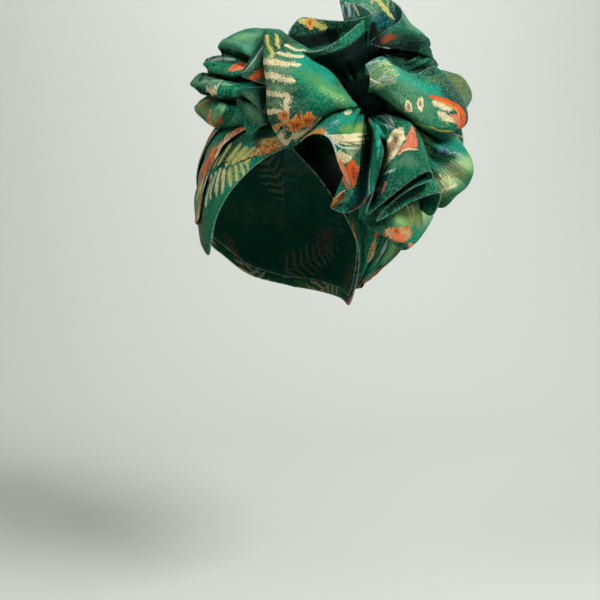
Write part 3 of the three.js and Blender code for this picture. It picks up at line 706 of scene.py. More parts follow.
def ruffle(heart, table, seed, root=0.22, across=200, along=40, wave=1.6):
    """A ruffle springs from a small copy of its own edge, a share of the way out from the heart."""
    middle = 0.6
    gather, ribs, wander = 2.2, 26, 2.5
    rows = []
    for bearing, reach, out, turn, swell, half_reach in table:
        edge = around(heart, bearing, reach, out)
        half_out = -heart[1] + (out + heart[1]) * middle + swell
        half = around(heart, bearing + turn, half_reach, half_out)
        rows.append([heart + (edge - heart) * root, half, edge])
    grid = smooth_grid(rows, across, along)
    i = np.linspace(0, 1, across + 1)[:, None]
    j = np.linspace(0, 1, along + 1)[None]
    u, v = spans(grid)
    folds = np.sin(2 * np.pi * ribs * i + wander * ripple(u, v, seed + 1, length=(60, 140)))
    waves = wave * ripple(u, v, seed) * np.sin(np.pi * np.minimum(j, 0.9))
    return crimp(grid, gather * folds * (1 - j) ** 1.6 + waves)


def head_wrap():
    """The snug layer on the head, from the hem to the crown."""
    turn_in = 4
    round_steps, up = 160, 40
    hem = smooth([(bearing, height, 0) for bearing, height in HEM], round_steps)[:round_steps]
    low = hem[:, 1:2] + turn_in
    share = np.sin(np.radians(90 * np.arange(up)[None] / up))
    height = low + (HEAD.crown - low) * share
    bearing = np.broadcast_to(hem[:, :1], height.shape)
    grid = over_head(bearing, height, 0)
    top = np.broadcast_to((0, 0, HEAD.crown + CLEAR), (round_steps, 1, 3))
    return np.concatenate([grid, top], axis=1)


def head_band(table, layers, tucks, seed):
    """A band that lies on the head between its two edges, with soft folds along it."""
    across, up = 220, 36
    fold_height, wave_height, wander = 1.1, 0.35, 0.5
    edges = smooth(table, across)
    share = np.linspace(0, 1, up + 1)[None]
    bearing = np.repeat(edges[:, :1], up + 1, axis=1)
    height = edges[:, 1:2] + (edges[:, 2:3] - edges[:, 1:2]) * share
    grid = over_head(bearing, height, layers)
    u, v = spans(grid)
    shift = wander * ripple(v + 0 * u, u, seed, length=(120, 260))
    folds = 0.5 - np.abs(np.sin(np.pi * (tucks * share + shift)))
    fade = np.sin(np.pi * np.clip(share, 0.02, 0.98)) ** 0.5
    waves = ripple(v + 0 * u, u, seed + 3, length=(25, 60))
    return crimp(grid, fold_height * folds * fade + wave_height * waves)


def crown_gathers():
    """The rolls of cloth round the crown, pinched into lobes."""
    round_steps, up = 300, 150
    sway_height, sways = 2.5, 3
    pinch_depth, lobes, lean, leans, first_turn = 3.2, 4.5, 2.2, 5, 1.1
    about_reach = 70
    angle = 2 * np.pi * np.arange(round_steps) / round_steps
    east, north = np.sin(angle), np.cos(angle)
    rows = []
    for roll in GATHERS:
        ahead = np.where(north[:, None] > 0, roll.front, roll.rear)
        aside = np.where(east[:, None] > 0, roll.right, roll.left)
        height, reach = (ahead * north[:, None] ** 2 + aside * east[:, None] ** 2).T
        height = height + sway_height * np.sin(sways * angle + np.radians(roll.sway))
        x, y = GATHER_CENTRE[0] + reach * east, GATHER_CENTRE[1] - reach * north
        rows.append(np.stack([x, y, height], -1))
    rows.append(np.broadcast_to(GATHER_CENTRE, rows[0].shape))
    grid = np.swapaxes(smooth(rows, up), 0, 1)
    j = np.linspace(0, 1, up + 1)[None]
    turn = angle[:, None]
    pinch = np.abs(np.sin(lobes * turn + lean * np.sin(leans * np.pi * j) + first_turn)) ** 0.6
    fade = np.sin(np.pi * j) ** 0.7
    waves = ripple(about_reach * turn, lengths(grid, 1), SEED + 9, length=(20, 50), lean=0.8)
    return crimp(grid, fade * (pinch_depth * (pinch - 0.75) + waves), ring=True)


def pleat(corners):
    """A pressed pleat: a flap between three corners that bows out a little in the middle."""
    bow, lift, narrow, steps = 3, 1, 0.08, 24
    tip, upper, lower = (np.array([c.x, -c.out, c.height]) for c in corners)
    rows = []
    for share in (0, 0.5, 1):
        end = upper + (lower - upper) * share
        start = tip + (end - tip) * narrow
        middle = (start + end) / 2
        middle[1] -= bow * np.sin(np.pi * share) + lift
        rows.append([start, middle, end])
    return smooth_grid(rows, steps, steps)


def crown_puff():
    """The smooth puff above the brow. It leans as it rises, and turns in over the crown."""
    lean_low, lean_top = 4, -3
    over_back, over_down = 34, 9
    steps, wave = 90, 1.2
    rows = []
    for s in PUFF:
        rows.append([
            (s.foot_side, -s.foot[0], s.foot[1]),
            (s.side + lean_low, -s.low[0], s.low[1]),
            (s.side, -s.high[0], s.high[1]),
            (s.side + lean_top, -s.top[0], s.top[1]),
            (s.side, -s.top[0] + over_back, s.top[1] - over_down),
        ])
    grid = smooth_grid(rows, steps, steps)
    return crimp(grid, wave * ripple(*spans(grid), SEED + 20, length=(40, 90), lean=1.2))


def right_ruffle():
    """The rolled ruffle beside the rosette's heart."""
    root_share = 0.35
    across, along, wave = 150, 80, 1.3
    rows = []
    for c in RIGHT_RUFFLE:
        fold = around(HEART, c.bearing, c.reach, c.out)
        face = fold + (0, -2, 0.5 * c.rise)
        crest = fold + (-0.15 * c.rise, 0.3 * c.edge_back, c.rise)
        hollow = crest + (0, 0.6 * c.edge_back, -c.sink)
        edge = crest + (-0.2 * c.edge_up, c.edge_back, c.edge_up)
        rows.append([HEART + (fold - HEART) * root_share, fold, face, crest, hollow, edge])
    grid = smooth_grid(rows, across, along)
    return crimp(grid, wave * ripple(*spans(grid), SEED + 30, length=(30, 80), lean=0.8))


def rosette_neck():
    """The bunched neck of cloth that carries the rosette, fluted round its sides."""
    sections = [(0, 38), (0.35, 28), (0.75, 22), (1.1, 19), (1.35, 11)]
    tip_share = 1.4
    round_steps, along = 120, 40
    flutes, flute_depth, fine_flutes, fine_depth = 4, 0.08, 11, 0.04
    reach = HEART - NECK_FOOT
    axis = reach / np.linalg.norm(reach)
    aside = np.cross((0, 0, 1), axis)
    aside /= np.linalg.norm(aside)
    upward = np.cross(axis, aside)
    angle = 2 * np.pi * np.arange(round_steps) / round_steps
    outward = np.cos(angle)[:, None] * aside + np.sin(angle)[:, None] * upward
    rows = []
    for share, radius in sections:
        broad = flute_depth * np.cos(flutes * angle + 2 * share)
        fine = fine_depth * np.cos(fine_flutes * angle + 3 * share)
        rows.append(NECK_FOOT + reach * share + (radius * (1 + broad + fine))[:, None] * outward)
    rows.append(np.broadcast_to(NECK_FOOT + reach * tip_share, rows[0].shape))
    return np.swapaxes(smooth(rows, along), 0, 1)


def feed(tree, entry, value):
    """Gives a node's input a field, or a plain number or colour."""
    if isinstance(value, Field):
        tree.links.new(value.socket, entry)
    elif isinstance(value, tuple):
        entry.default_value = (*value, 1)
    else:
        entry.default_value = value


def new_node(tree, kind, inputs, **settings):
    """A new node of a kind, with its settings, and its inputs fed."""
    node = tree.nodes.new("ShaderNode" + kind)
    for label, value in settings.items():
        setattr(node, label, value)
    for label, value in inputs.items():
        feed(tree, node.inputs[label], value)
    return node


class Field:
    """A value at each point of a surface, worked out by a material's nodes."""

    def __init__(self, tree, socket):
        self.tree = tree
        self.socket = socket

    def work(self, operation, *others):
        """The result of a mathematical node on this field and others."""
        node = new_node(self.tree, "Math", dict(enumerate((self, *others))), operation=operation)
        return Field(self.tree, node.outputs[0])

    def __add__(self, other):
        return self.work("ADD", other)

    __radd__ = __add__

    def __mul__(self, other):
        return self.work("MULTIPLY", other)

    __rmul__ = __mul__

    def __sub__(self, other):
        return self.work("SUBTRACT", other)

    def __rsub__(self, other):
        return self * -1 + other

    def __truediv__(self, other):
        return self.work("DIVIDE", other)

    def __pow__(self, other):
        return self.work("POWER", other)

    def __abs__(self):
        return self.work("ABSOLUTE")


def grouped(name, inputs, draw):
    """A group of nodes with named inputs, whose outputs are the fields that draw returns."""
    tree = bpy.data.node_groups.new(name, "ShaderNodeTree")
    for label in inputs:
        kind = "NodeSocketColor" if label in ("base", "ink") else "NodeSocketFloat"
        tree.interface.new_socket(name=label, in_out="INPUT", socket_type=kind)
    entry = tree.nodes.new("NodeGroupInput")
    drawn = draw(*(Field(tree, entry.outputs[label]) for label in inputs))
    for label, field in drawn.items():
        kind = "NodeSocketColor" if field.socket.type == "RGBA" else "NodeSocketFloat"
        tree.interface.new_socket(name=label, in_out="OUTPUT", socket_type=kind)
    leave = tree.nodes.new("NodeGroupOutput")
    for label, field in drawn.items():
        tree.links.new(field.socket, leave.inputs[label])
    return tree


def use(tree, group, **values):
    """Places a group in a material and returns its outputs as fields."""
    node = new_node(tree, "Group", values, node_tree=group)
    return {socket.name: Field(tree, socket) for socket in node.outputs}


def step(value, low, high):
    """Rises softly from 0 at low to 1 at high, or falls where high is the lower."""
    inputs = {"Value": value, "From Min": low, "From Max": high}
    node = new_node(value.tree, "MapRange", inputs, interpolation_type="SMOOTHSTEP")
    return Field(value.tree, node.outputs["Result"])


def paint(base, color, mask):
    """Lays a colour over another where the mask is 1."""
    node = new_node(mask.tree, "Mix", {0: mask, 6: base, 7: color}, data_type="RGBA")
    return Field(mask.tree, node.outputs[2])


def place(tree, x, y):
    """Two coordinates joined into a place."""
    return Field(tree, new_node(tree, "CombineXYZ", {0: x, 1: y}).outputs[0])


def split(tree, socket, kind):
    """The three fields in a place, XYZ, or in a Color."""
    node = new_node(tree, "Separate" + kind, {0: Field(tree, socket)})
    return [Field(tree, node.outputs[k]) for k in range(3)]


def noise(x, y, size, detail=2.0, rough=0.5):
    """Soft random patches of about the given size."""
    tree = x.tree
    inputs = {"Vector": place(tree, x, y), "Scale": 1 / size, "Detail": detail, "Roughness": rough}
    node = new_node(tree, "TexNoise", inputs, noise_dimensions="2D")
    return Field(tree, node.outputs["Fac"])


def turned(x, y, angle):
    """Coordinates turned by an angle, which may differ from place to place."""
    cos, sin = angle.work("COSINE"), angle.work("SINE")
    return x * cos + y * sin, y * cos - x * sin


def cells(x, y, size, unevenness):
    """Cells strewn over the cloth: their node, and three numbers drawn for each cell."""
    tree = x.tree
    inputs = {"Vector": place(tree, x, y), "Scale": 1 / size, "Randomness": unevenness}
    node = new_node(tree, "TexVoronoi", inputs, voronoi_dimensions="2D")
    return node, split(tree, node.outputs["Color"], "Color")


def scattered(x, y, size):
    """Turned coordinates round the nearest of many scattered places, and a number drawn for it."""
    node, drawn = cells(x, y, size, 0.75)
    middle = split(x.tree, node.outputs["Position"], "XYZ")
    near_x, near_y = turned(x - middle[0], y - middle[1], drawn[0] * 6.283)
    return near_x, near_y, drawn[1]


def flecks(x, y, size):
    """Small dots strewn over the cloth, and a number drawn for each."""
    node, drawn = cells(x, y, size, 1.0)
    return step(Field(x.tree, node.outputs["Distance"]), 0.52, 0.36), drawn[2]


def sprinkled(base, ink, fleck, draw, low, high, strength):
    """Lays a colour on those flecks whose drawn number is past high, on the side away from low."""
    return paint(base, ink, fleck * step(draw, low, high) * strength)


def gaps(fleck, draw, low, high, strength):
    """What is left of a motif where the same choice of flecks is left bare."""
    return 1 - fleck * step(draw, low, high) * strength


# The print's colours, as light returned by the cloth. Some also paint light and shade: NIGHT and DEEP the
# painted shade, and EMERALD, TEAL, SAGE, SPRING and PALE some painted highlights and painted light.
NIGHT = (0.0, 0.004, 0.003)
DEEP = (0.002, 0.050, 0.031)
EMERALD = (0.002, 0.155, 0.078)
TEAL = (0.003, 0.23, 0.155)
LIME = (0.13, 0.32, 0.05)
GOLD = (0.34, 0.34, 0.08)
STRAW = (0.46, 0.42, 0.12)
UMBER = (0.16, 0.035, 0.010)
CREAM = (0.60, 0.52, 0.30)
ORANGE = (0.56, 0.075, 0.016)
CORAL = (0.56, 0.15, 0.08)
AMBER = (0.52, 0.21, 0.03)
SLATE = (0.08, 0.16, 0.24)
SAGE = (0.17, 0.32, 0.17)
MOSS = (0.08, 0.15, 0.08)
INDIGO = (0.0, 0.05, 0.065)
PALE = (0.42, 0.50, 0.46)
SPRING = (0.27, 0.50, 0.16)
WRONG_SIDE = (0.002, 0.05, 0.034)


def oval(x, y, length, width):
    """How far a point lies from the middle of an oval, 1 at its edge."""
    return ((x / length) ** 2.0 + (y / width) ** 2.0) ** 0.5


def flower(base, ink, x, y, worn):
    """A painted blossom of radius 1 round the origin: ragged petals and a dark heart."""
    petals = 5.0
    reach = (x * x + y * y) ** 0.5
    bearing = y.work("ARCTAN2", x)
    outline = abs((bearing * (petals / 2)).work("COSINE")) ** 0.35 * 0.3 + 0.72
    outward = reach / outline + (worn - 0.5) * 1.1
    streak = noise(bearing * 2.0, reach, 0.8)
    color = paint(ink, AMBER, step(streak + reach * 0.25, 0.52, 0.74) * 0.85)
    color = paint(color, CREAM, step(outward + (streak - 0.5) * 0.9, 0.78, 1.0) * 0.5)
    color = paint(color, UMBER, step(reach + (streak - 0.5) * 0.7, 0.44, 0.22) * 0.9)
    color = paint(color, GOLD, step(reach, 0.12, 0.06))
    return paint(base, color, step(outward, 1.0, 0.9))


# Every kind of motif is drawn by a function of the same values, though some need only a few of them.
def leaf(base, ink, x, y, length, width, fleck, draw, worn):
    """A speckled leaflet, blunt at its root and slimmer at its tip, with flecks strewn round it."""
    share = x / length
    ends = (1 - (abs(share * 2 - 1) ** 5.0).work("MINIMUM", 1.0)) ** 0.5
    half = (ends * (1.05 - share * 0.3) + 0.001) * width / 2
    side = abs(y) / half + (worn - 0.5) * 0.6
    strewn = fleck * step(side - draw * 1.2, 0.95, 0.85) * step(side, 1.9, 1.7)
    solid = step(side, 1.0, 0.85) * gaps(fleck, draw, 0.55, 0.5, 0.6)
    return paint(base, ink, solid.work("MAXIMUM", strewn * 0.6) * 0.95)


def wedge(base, ink, x, y, length, width, fleck, draw, worn):
    """A petal that narrows straight to its tip."""
    share = x / length
    half = (1 - share).work("MAXIMUM", 0.0) * width / 2 + 0.01
    mask = step(abs(y) / half + (worn - 0.5) * 0.3, 1.0, 0.9) * step(share, 0.0, 0.08)
    return paint(base, paint(ink, UMBER, step(worn, 0.5, 0.62) * 0.5), mask)


def patch(x, y, length, width, spill, rag):
    """How far a point lies from the middle of a ragged oval along a motif, 1 at its edge.

    The oval spills past the motif's ends by a share of its width.
    """
    return oval(x - length / 2, y, length / 2 + width * spill, width / 2) + rag


def petal(base, ink, x, y, length, width, fleck, draw, worn):
    """An oval petal with a brown core."""
    inside = oval(x - length / 2, y, length / 2, width / 2)
    color = paint(ink, UMBER, step(inside + (worn - 0.5) * 0.5, 0.6, 0.3) * 0.75)
    solid = step(inside + (worn - 0.5) * 0.3, 1.0, 0.86) * gaps(fleck, draw, 0.4, 0.35, 0.5)
    return paint(base, color, solid)


def bloom(base, ink, x, y, length, width, fleck, draw, worn):
    """One open blossom."""
    return flower(base, ink, x / width, y / width, worn)


def spray(base, ink, x, y, length, width, fleck, draw, worn):
    """A cluster of small blossoms among cream flecks."""
    apart, radius = 0.7, 0.44
    window = step(patch(x, y, length, width, 0.5, (worn - 0.5) * 1.1), 1.05, 0.85)
    color = paint(base, CREAM, window * fleck * step(worn, 0.36, 0.5) * 0.8)
    near_x, near_y, _ = scattered(x / width, y / width, apart)
    return paint(base, flower(color, ink, near_x / radius, near_y / radius, worn), window)


def brush(base, ink, x, y, length, width, fleck, draw, worn):
    """Long dry brush strokes."""
    strokes = noise(x * 0.05, y + (worn - 0.5) * 0.3, 1.0, detail=1.0)
    window = step(patch(x, y, length, width, 0.25, (worn - 0.5) * 0.5), 1.1, 0.6)
    color = paint(base, SLATE, window * step(strokes, 0.38, 0.5) * 0.4)
    return paint(color, ink, window * step(strokes, 0.5, 0.62) * 0.7)


def glow(base, ink, x, y, length, width, fleck, draw, worn):
    """A drift of fine bright flecks, dense in its middle and thin at its edge."""
    window = step(patch(x, y, length, width, 0.5, (worn - 0.5) * 0.5), 1.2, 0.2)
    color = paint(base, ink, window * 0.1)
    return paint(color, ink, fleck * step(window - draw, 0.0, 0.1) * 0.6)


MOTIF_INPUTS = "base ink u v a b c d e f length width fleck draw worn".split()


def motif_group(kind):
    """The group of nodes that draws one kind of motif from a place on the cloth."""
    def placed(base, ink, u, v, a, b, c, d, e, f, *rest):
        return {"color": kind(base, ink, u * a + v * b + c, u * d + v * e + f, *rest)}

    return grouped(kind.__name__, MOTIF_INPUTS, placed)


def swept(base, x, y, worn, loose):
    """Patches of long pale brush strokes."""
    strokes = noise(x * 0.11, y + (worn - 0.5) * 1.5, 1.5, detail=1.0)
    window = step(noise(y, x, 50.0), 0.6, 0.66) * loose
    color = paint(base, SLATE, window * step(strokes, 0.38, 0.5) * 0.6)
    return paint(color, PALE, window * step(strokes, 0.55, 0.62) * 0.6)


def fronds(x, y, worn):
    """Scattered fronds: a stem with slanting leaflets on both its sides."""
    apart, leaflet_length, leaflet_pitch, slant = 95.0, 17, 7.5, 0.45
    near_x, near_y, drawn = scattered(x, y, apart)
    stem_x, side = near_x + 30, abs(near_y)
    spread = (step(stem_x, -8.0, 14.0) * step(stem_x, 68.0, 30.0)) ** 0.5 * leaflet_length + 0.01
    tapered = (1 - (side / spread).work("MINIMUM", 1.0) ** 4.0) ** 0.5 * 0.5
    slot = abs(((stem_x - side * slant) / leaflet_pitch).work("FRACT") - 0.5) * 2
    leaflets = step(tapered - slot + (worn - 0.5) * 0.2, 0.0, 0.1)
    stem = step(side, 1.0, 0.5) * step(stem_x, 0.0, 2.0) * step(stem_x, 60.0, 58.0)
    return leaflets.work("MAXIMUM", stem) * step(drawn, 0.5, 0.48)


def cluster_windows(x, y, worn):
    """Scattered ragged ovals for blossoms, and a choice of some of them."""
    apart, half_length, half_width = 58.0, 14.0, 9.0
    near_x, near_y, drawn = scattered(y, x, apart)
    ragged = oval(near_x, near_y, half_length, half_width) + (worn - 0.5) * 1.1
    return step(ragged, 1.05, 0.85), step(drawn, 0.42, 0.4)


def blossoms(base, x, y, worn):
    """Blossoms side by side."""
    apart, radius = 9.0, 5.6
    near_x, near_y, _ = scattered(x, y, apart)
    return flower(base, ORANGE, near_x / radius, near_y / radius, worn)


def ground_print(u, v, seed, loose):
    """The print away from the placed motifs: mottled green with flecks, and loose fronds and blossoms."""
    x = u + (noise(u, v, 14.0) - 0.5) * 5
    y = v + (noise(v, u, 11.0) - 0.5) * 5
    far_x, far_y = x + seed * 211, y + seed * 97
    tone = noise(far_x, far_y, 70.0, detail=3.0)
    color = paint(DEEP, EMERALD, step(tone, 0.34, 0.52))
    color = paint(color, TEAL, step(tone, 0.56, 0.68) * 0.7)
    mottle = noise(far_x, far_y, 22.0, detail=4.0, rough=0.6)
    color = paint(color, DEEP, step(mottle, 0.5, 0.36) * 0.6)
    worn = noise(x, y, 4.0, detail=4.0, rough=0.65)
    fleck, draw = flecks(x, y, FLECK)
    color = sprinkled(color, NIGHT, fleck, draw, 0.36, 0.32, 0.55)
    color = swept(color, far_x, far_y, worn, loose)
    drift = step(noise(far_x * 0.6 + 40, far_y, 34.0), 0.46, 0.72)
    sparing = loose * 0.7 + 0.3
    color = paint(color, LIME, drift * 0.1 * sparing)
    color = paint(color, GOLD, fleck * step(drift - draw, 0.0, 0.1) * 0.6 * sparing)
    color = sprinkled(color, SAGE, fleck, draw, 0.6, 0.66, 0.24)
    speckled = 0.9 - fleck * step(draw, 0.5, 0.45) * 0.5
    color = paint(color, CREAM, fronds(far_x, far_y, worn) * loose * speckled)
    clusters, share = cluster_windows(far_x, far_y, worn)
    color = paint(color, blossoms(color, far_x, far_y, worn), clusters * share * loose)
    return {"color": color, "x": x, "y": y, "fleck": fleck, "draw": draw, "worn": worn, "mottle": mottle}


# Ground colours washed softly over the cloth along strokes in the photograph: the colour, its strength,
# and the stroke's width and points in pixels. Most are the print's tones; the rows marked below paint
# shade and light.
WASHES = {
    "crown_puff": [
        (MOSS, 0.8, 15, [(274, 66), (276, 86), (280, 104)]),
        (EMERALD, 0.9, 14, [(304, 78), (312, 98), (322, 112)]),
        # Teal patch on the puff's upper right: partly the print's tone, partly a painted sheen highlight.
        (TEAL, 0.9, 9, [(302, 62), (318, 68), (330, 78)]),
        (DEEP, 0.6, 9, [(300, 92), (308, 104), (318, 112)]),
        (DEEP, 0.7, 4, [(268, 148), (282, 149), (300, 140)]),
    ],
    "brow_band_inner": [
        (DEEP, 0.7, 7, [(218, 166), (232, 146), (252, 136)]),
        (EMERALD, 1.0, 6, [(272, 153), (256, 166), (242, 184), (226, 200), (216, 214), (213, 236)]),
        (UMBER, 0.8, 7, [(262, 146), (280, 142)]),
    ],
    "brow_band_middle": [
        (EMERALD, 0.8, 6, [(214, 152), (228, 140)]),
        (ORANGE, 0.9, 4, [(232, 140), (242, 133), (250, 128)]),
        (ORANGE, 0.9, 6, [(201, 172), (208, 162), (214, 154)]),
        (CORAL, 0.5, 3, [(198, 190), (201, 178)]),
    ],
    "brow_band_outer": [
        (ORANGE, 1.0, 7, [(200, 158), (205, 146), (212, 136)]),
        (UMBER, 0.7, 3, [(197, 160), (200, 148), (207, 138)]),
        (UMBER, 0.7, 2.5, [(212, 150), (219, 140)]),
    ],
    "rosette_fan": [
        (EMERALD, 0.9, 20, [(396, 150), (408, 162)]), (DEEP, 0.4, 20, [(396, 150), (408, 162)]),
        (TEAL, 0.9, 8, [(322, 132), (345, 120), (364, 110)]), (LIME, 0.7, 5, [(344, 130), (364, 128)]),
        (DEEP, 0.9, 8, [(362, 148), (364, 172), (360, 190)]),
        (INDIGO, 0.9, 8, [(352, 206), (364, 192)]), (INDIGO, 0.8, 7, [(384, 178), (376, 202)]),
        (TEAL, 1.0, 4, [(374, 112), (379, 130), (378, 150), (372, 170), (372, 192)]),
        (DEEP, 0.9, 9, [(416, 202), (430, 200)]), (DEEP, 0.9, 7, [(394, 202), (416, 186)]),
    ],
    "ruffle_right": [
        (EMERALD, 0.9, 16, [(388, 90), (430, 104)]), (DEEP, 0.3, 14, [(388, 94), (430, 108)]),
        (TEAL, 0.9, 6, [(398, 74), (416, 86), (436, 92)]),
    ],
    "ruffle_rear": [(MOSS, 0.9, 16, [(446, 80), (464, 92)])],
    "ruffle_top": [
        # Painted shade: the DEEP and NIGHT washes darken the hollow under the flower, the outer face of
        # the sheet at the right and the cloth below it. The EMERALD wash along the near rim is a painted
        # lit band.
        (DEEP, 1.0, 18, [(292, 34), (320, 36), (345, 30)]),
        (NIGHT, 0.5, 10, [(296, 32), (320, 34), (340, 28)]),
        (EMERALD, 0.8, 5, [(344, 40), (358, 31), (369, 19)]), (INDIGO, 0.9, 10, [(380, 22), (396, 14)]),
        (SAGE, 0.4, 5, [(362, 4), (374, 12)]), (DEEP, 1.0, 16, [(384, 46), (404, 40), (420, 46)]),
        (NIGHT, 0.6, 10, [(386, 48), (404, 44), (418, 46)]),
        (DEEP, 0.9, 8, [(392, 62), (412, 68), (432, 72)]), (TEAL, 0.7, 4, [(412, 16), (420, 30)]),
    ],
    "ruffle_back": [
        (EMERALD, 0.8, 20, [(430, 150), (456, 160)]),
        (SAGE, 0.5, 14, [(430, 190), (448, 180), (462, 166)]),
        (SPRING, 0.6, 10, [(436, 186), (452, 176), (464, 164)]),
        (SPRING, 0.8, 6, [(420, 132), (426, 150)]),
        (TEAL, 0.8, 6, [(432, 142), (446, 144), (464, 150)]),
    ],
    "ruffle_under": [
        (DEEP, 0.8, 8, [(376, 224), (392, 238)]), (EMERALD, 0.8, 9, [(396, 226), (412, 240)]),
        # The SPRING wash is partly the print's lime and partly painted light, raised where the ruffle sits
        # in shade.
        (SPRING, 0.9, 9, [(402, 218), (414, 214), (430, 210)]),
        (SAGE, 0.7, 5, [(420, 226), (432, 212)]), (NIGHT, 0.9, 4, [(400, 244), (406, 248)]),
    ],
    "side_drape": [
        # Painted light over the drape's print: the TEAL and SPRING washes lighten it where it sits in
        # shade, and the narrow TEAL wash is a painted highlight along its fold.
        (TEAL, 0.6, 14, [(362, 268), (384, 246)]), (SPRING, 0.7, 6, [(394, 246), (382, 266)]),
        (TEAL, 0.9, 5, [(388, 236), (382, 254), (372, 276)]), (DEEP, 0.9, 4, [(362, 246), (358, 280)]),
        (CORAL, 1.0, 4, [(380, 272), (364, 286), (350, 298)]),
    ],
    "crown_gathers": [
        (EMERALD, 0.9, 9, [(228, 44), (244, 38), (264, 38)]),
        (EMERALD, 0.9, 6, [(204, 68), (222, 62), (242, 64)]),
        (EMERALD, 0.8, 7, [(196, 80), (216, 82), (244, 88)]),
        # Painted highlight: the SAGE wash lightens the top edge of the third lobe.
        (SAGE, 0.5, 4, [(194, 84), (212, 78), (232, 80)]),
        (SAGE, 0.5, 5, [(204, 96), (210, 108), (214, 120)]),
        (EMERALD, 0.8, 9, [(204, 98), (212, 110), (218, 124)]),
        (TEAL, 0.6, 4, [(214, 78), (232, 80), (250, 82)]),
    ],
    "crown_pleat": [(DEEP, 0.8, 16, [(262, 50), (250, 72)])],
    "temple_pleat_upper": [(DEEP, 0.9, 16, [(240, 92), (258, 96)])],
    "temple_pleat_lower": [(DEEP, 0.9, 16, [(240, 98), (260, 116)])],
    # Painted shade: the neck in deep shadow under the rosette is painted near black, and so is the top of
    # the temple band in the fan's shadow.
    "rosette_neck": [(NIGHT, 1.0, 60, [(338, 84), (344, 96)])],
    "temple_band": [(NIGHT, 0.9, 24, [(310, 152), (336, 190)])],
}

# Crisper painted lines over the motifs, in the same form.
STREAKS = {
    "ruffle_top": [
        (STRAW, 0.6, 3.4, [(372, -6), (383, 6), (394, 20)]), (PALE, 0.9, 1.2, [(344, 4), (342, 18)]),
        (PALE, 0.9, 1.2, [(349, 3), (350, 17)]), (CREAM, 0.9, 1.4, [(354, 4), (360, 16)]),
        (PALE, 0.8, 1.5, [(405, 12), (410, 17)]),
    ],
    "rosette_fan": [
        (CREAM, 0.8, 2.2, [(330, 136), (346, 136), (368, 134)]),
        (CREAM, 0.9, 2.0, [(332, 138), (348, 140), (369, 139)]),
        (CREAM, 0.7, 1.2, [(332, 140), (346, 144), (366, 143)]),
        (NIGHT, 0.8, 1.0, [(344, 142), (356, 145), (368, 145)]),
        (PALE, 0.8, 1.1, [(330, 139), (342, 147), (358, 149)]),
        (CORAL, 1.0, 2.6, [(340, 160), (344, 172), (349, 189)]),
        (AMBER, 1.0, 1.2, [(338, 156), (342, 170), (347, 188)]),
        (UMBER, 0.9, 2.0, [(352, 210), (362, 204), (368, 196)]),
        (PALE, 0.8, 0.9, [(371, 168), (370, 180), (370, 196)]),
    ],
    "ruffle_right": [
        (ORANGE, 1.0, 2.4, [(428, 96), (445, 101), (459, 109), (463, 119), (460, 130)]),
        (AMBER, 1.0, 1.3, [(432, 99), (446, 104), (456, 110), (459, 118)]),
        (LIME, 0.9, 1.6, [(404, 118), (418, 124), (434, 128)]),
        (STRAW, 0.9, 1.6, [(430, 127), (446, 131), (459, 131)]),
        (CREAM, 0.9, 1.1, [(366, 72), (371, 79), (382, 84)]),
    ],
    "crown_gathers": [
        (CORAL, 1.0, 3.6, [(230, 70), (238, 67), (248, 66)]),
        (ORANGE, 0.9, 1.8, [(232, 69), (240, 65), (248, 65)]),
        (CORAL, 1.0, 2.2, [(196, 93), (199, 104)]),
        # The PALE streak on the second lobe's top is partly print and partly a painted highlight; the SAGE
        # streaks along the third lobe's ridge and down the fourth lobe are painted highlights.
        (PALE, 0.62, 2.4, [(209, 62), (222, 59), (236, 60)]),
        (SAGE, 0.6, 1.8, [(192, 78), (204, 77), (218, 82), (232, 86)]),
        (SAGE, 0.7, 2.2, [(226, 104), (221, 113), (217, 121)]),
        (ORANGE, 0.9, 2.2, [(221, 116), (218, 124)]),
    ],
    "side_drape": [(CORAL, 1.0, 2.6, [(380, 272), (366, 284), (350, 299)])],
    "brow_band_middle": [
        (CORAL, 1.0, 1.6, [(230, 141), (240, 134), (250, 128)]),
        (CORAL, 1.0, 2.2, [(201, 174), (207, 164), (213, 156)]),
        (CREAM, 0.9, 1.1, [(216, 158), (222, 148), (230, 138)]),
    ],
}

# Painted shade: the cloth's colour is darkened where it lies in the dark, along strokes in the photograph:
# strength, width and points.
SHADES = {
    "ruffle_top": [
        (1.0, 9, [(290, 42), (304, 43), (320, 40), (332, 36)]), (0.5, 5, [(330, 34), (346, 28)]),
        (0.95, 6, [(320, 60), (340, 54), (356, 46), (366, 36)]),
        (0.95, 14, [(336, 70), (352, 66), (362, 56)]), (0.95, 5, [(373, 26), (374, 44), (374, 66)]),
        (0.7, 6, [(384, 30), (378, 40)]), (0.85, 8, [(378, 50), (398, 50), (414, 50)]),
        (0.6, 8, [(396, 34), (416, 42)]), (0.6, 7, [(394, 62), (412, 66), (430, 70)]),
    ],
    "rosette_fan": [
        (0.7, 3, [(382, 142), (378, 166), (374, 200)]), (0.9, 3, [(386, 204), (402, 191), (424, 176)]),
        (0.7, 3, [(388, 212), (404, 200), (424, 190)]), (0.6, 5, [(334, 206), (346, 206), (360, 212)]),
        (0.5, 8, [(420, 204), (432, 202)]),
    ],
    "ruffle_right": [(0.8, 4, [(374, 94), (390, 106), (406, 120)])],
    "crown_gathers": [
        (0.85, 4, [(224, 52), (238, 56), (252, 62)]), (0.75, 4, [(206, 73), (228, 77), (248, 79)]),
        (0.8, 4, [(196, 90), (222, 98), (248, 98)]), (0.5, 5, [(206, 124), (222, 130), (246, 128)]),
        (0.5, 5, [(238, 88), (250, 92), (262, 96)]),
    ],
    "crown_pleat": [(0.6, 4, [(263, 58), (262, 84)])],
    "temple_pleat_upper": [(0.8, 8, [(264, 84), (266, 108)])],
    "temple_pleat_lower": [(0.8, 8, [(266, 104), (270, 128)]), (0.5, 4, [(242, 100), (252, 126)])],
    "rosette_neck": [(0.8, 60, [(338, 84), (344, 96)])],
    "temple_band": [(0.8, 16, [(308, 152), (334, 188)])],
    "brow_band_inner": [(0.5, 3, [(280, 150), (262, 158)])],
}
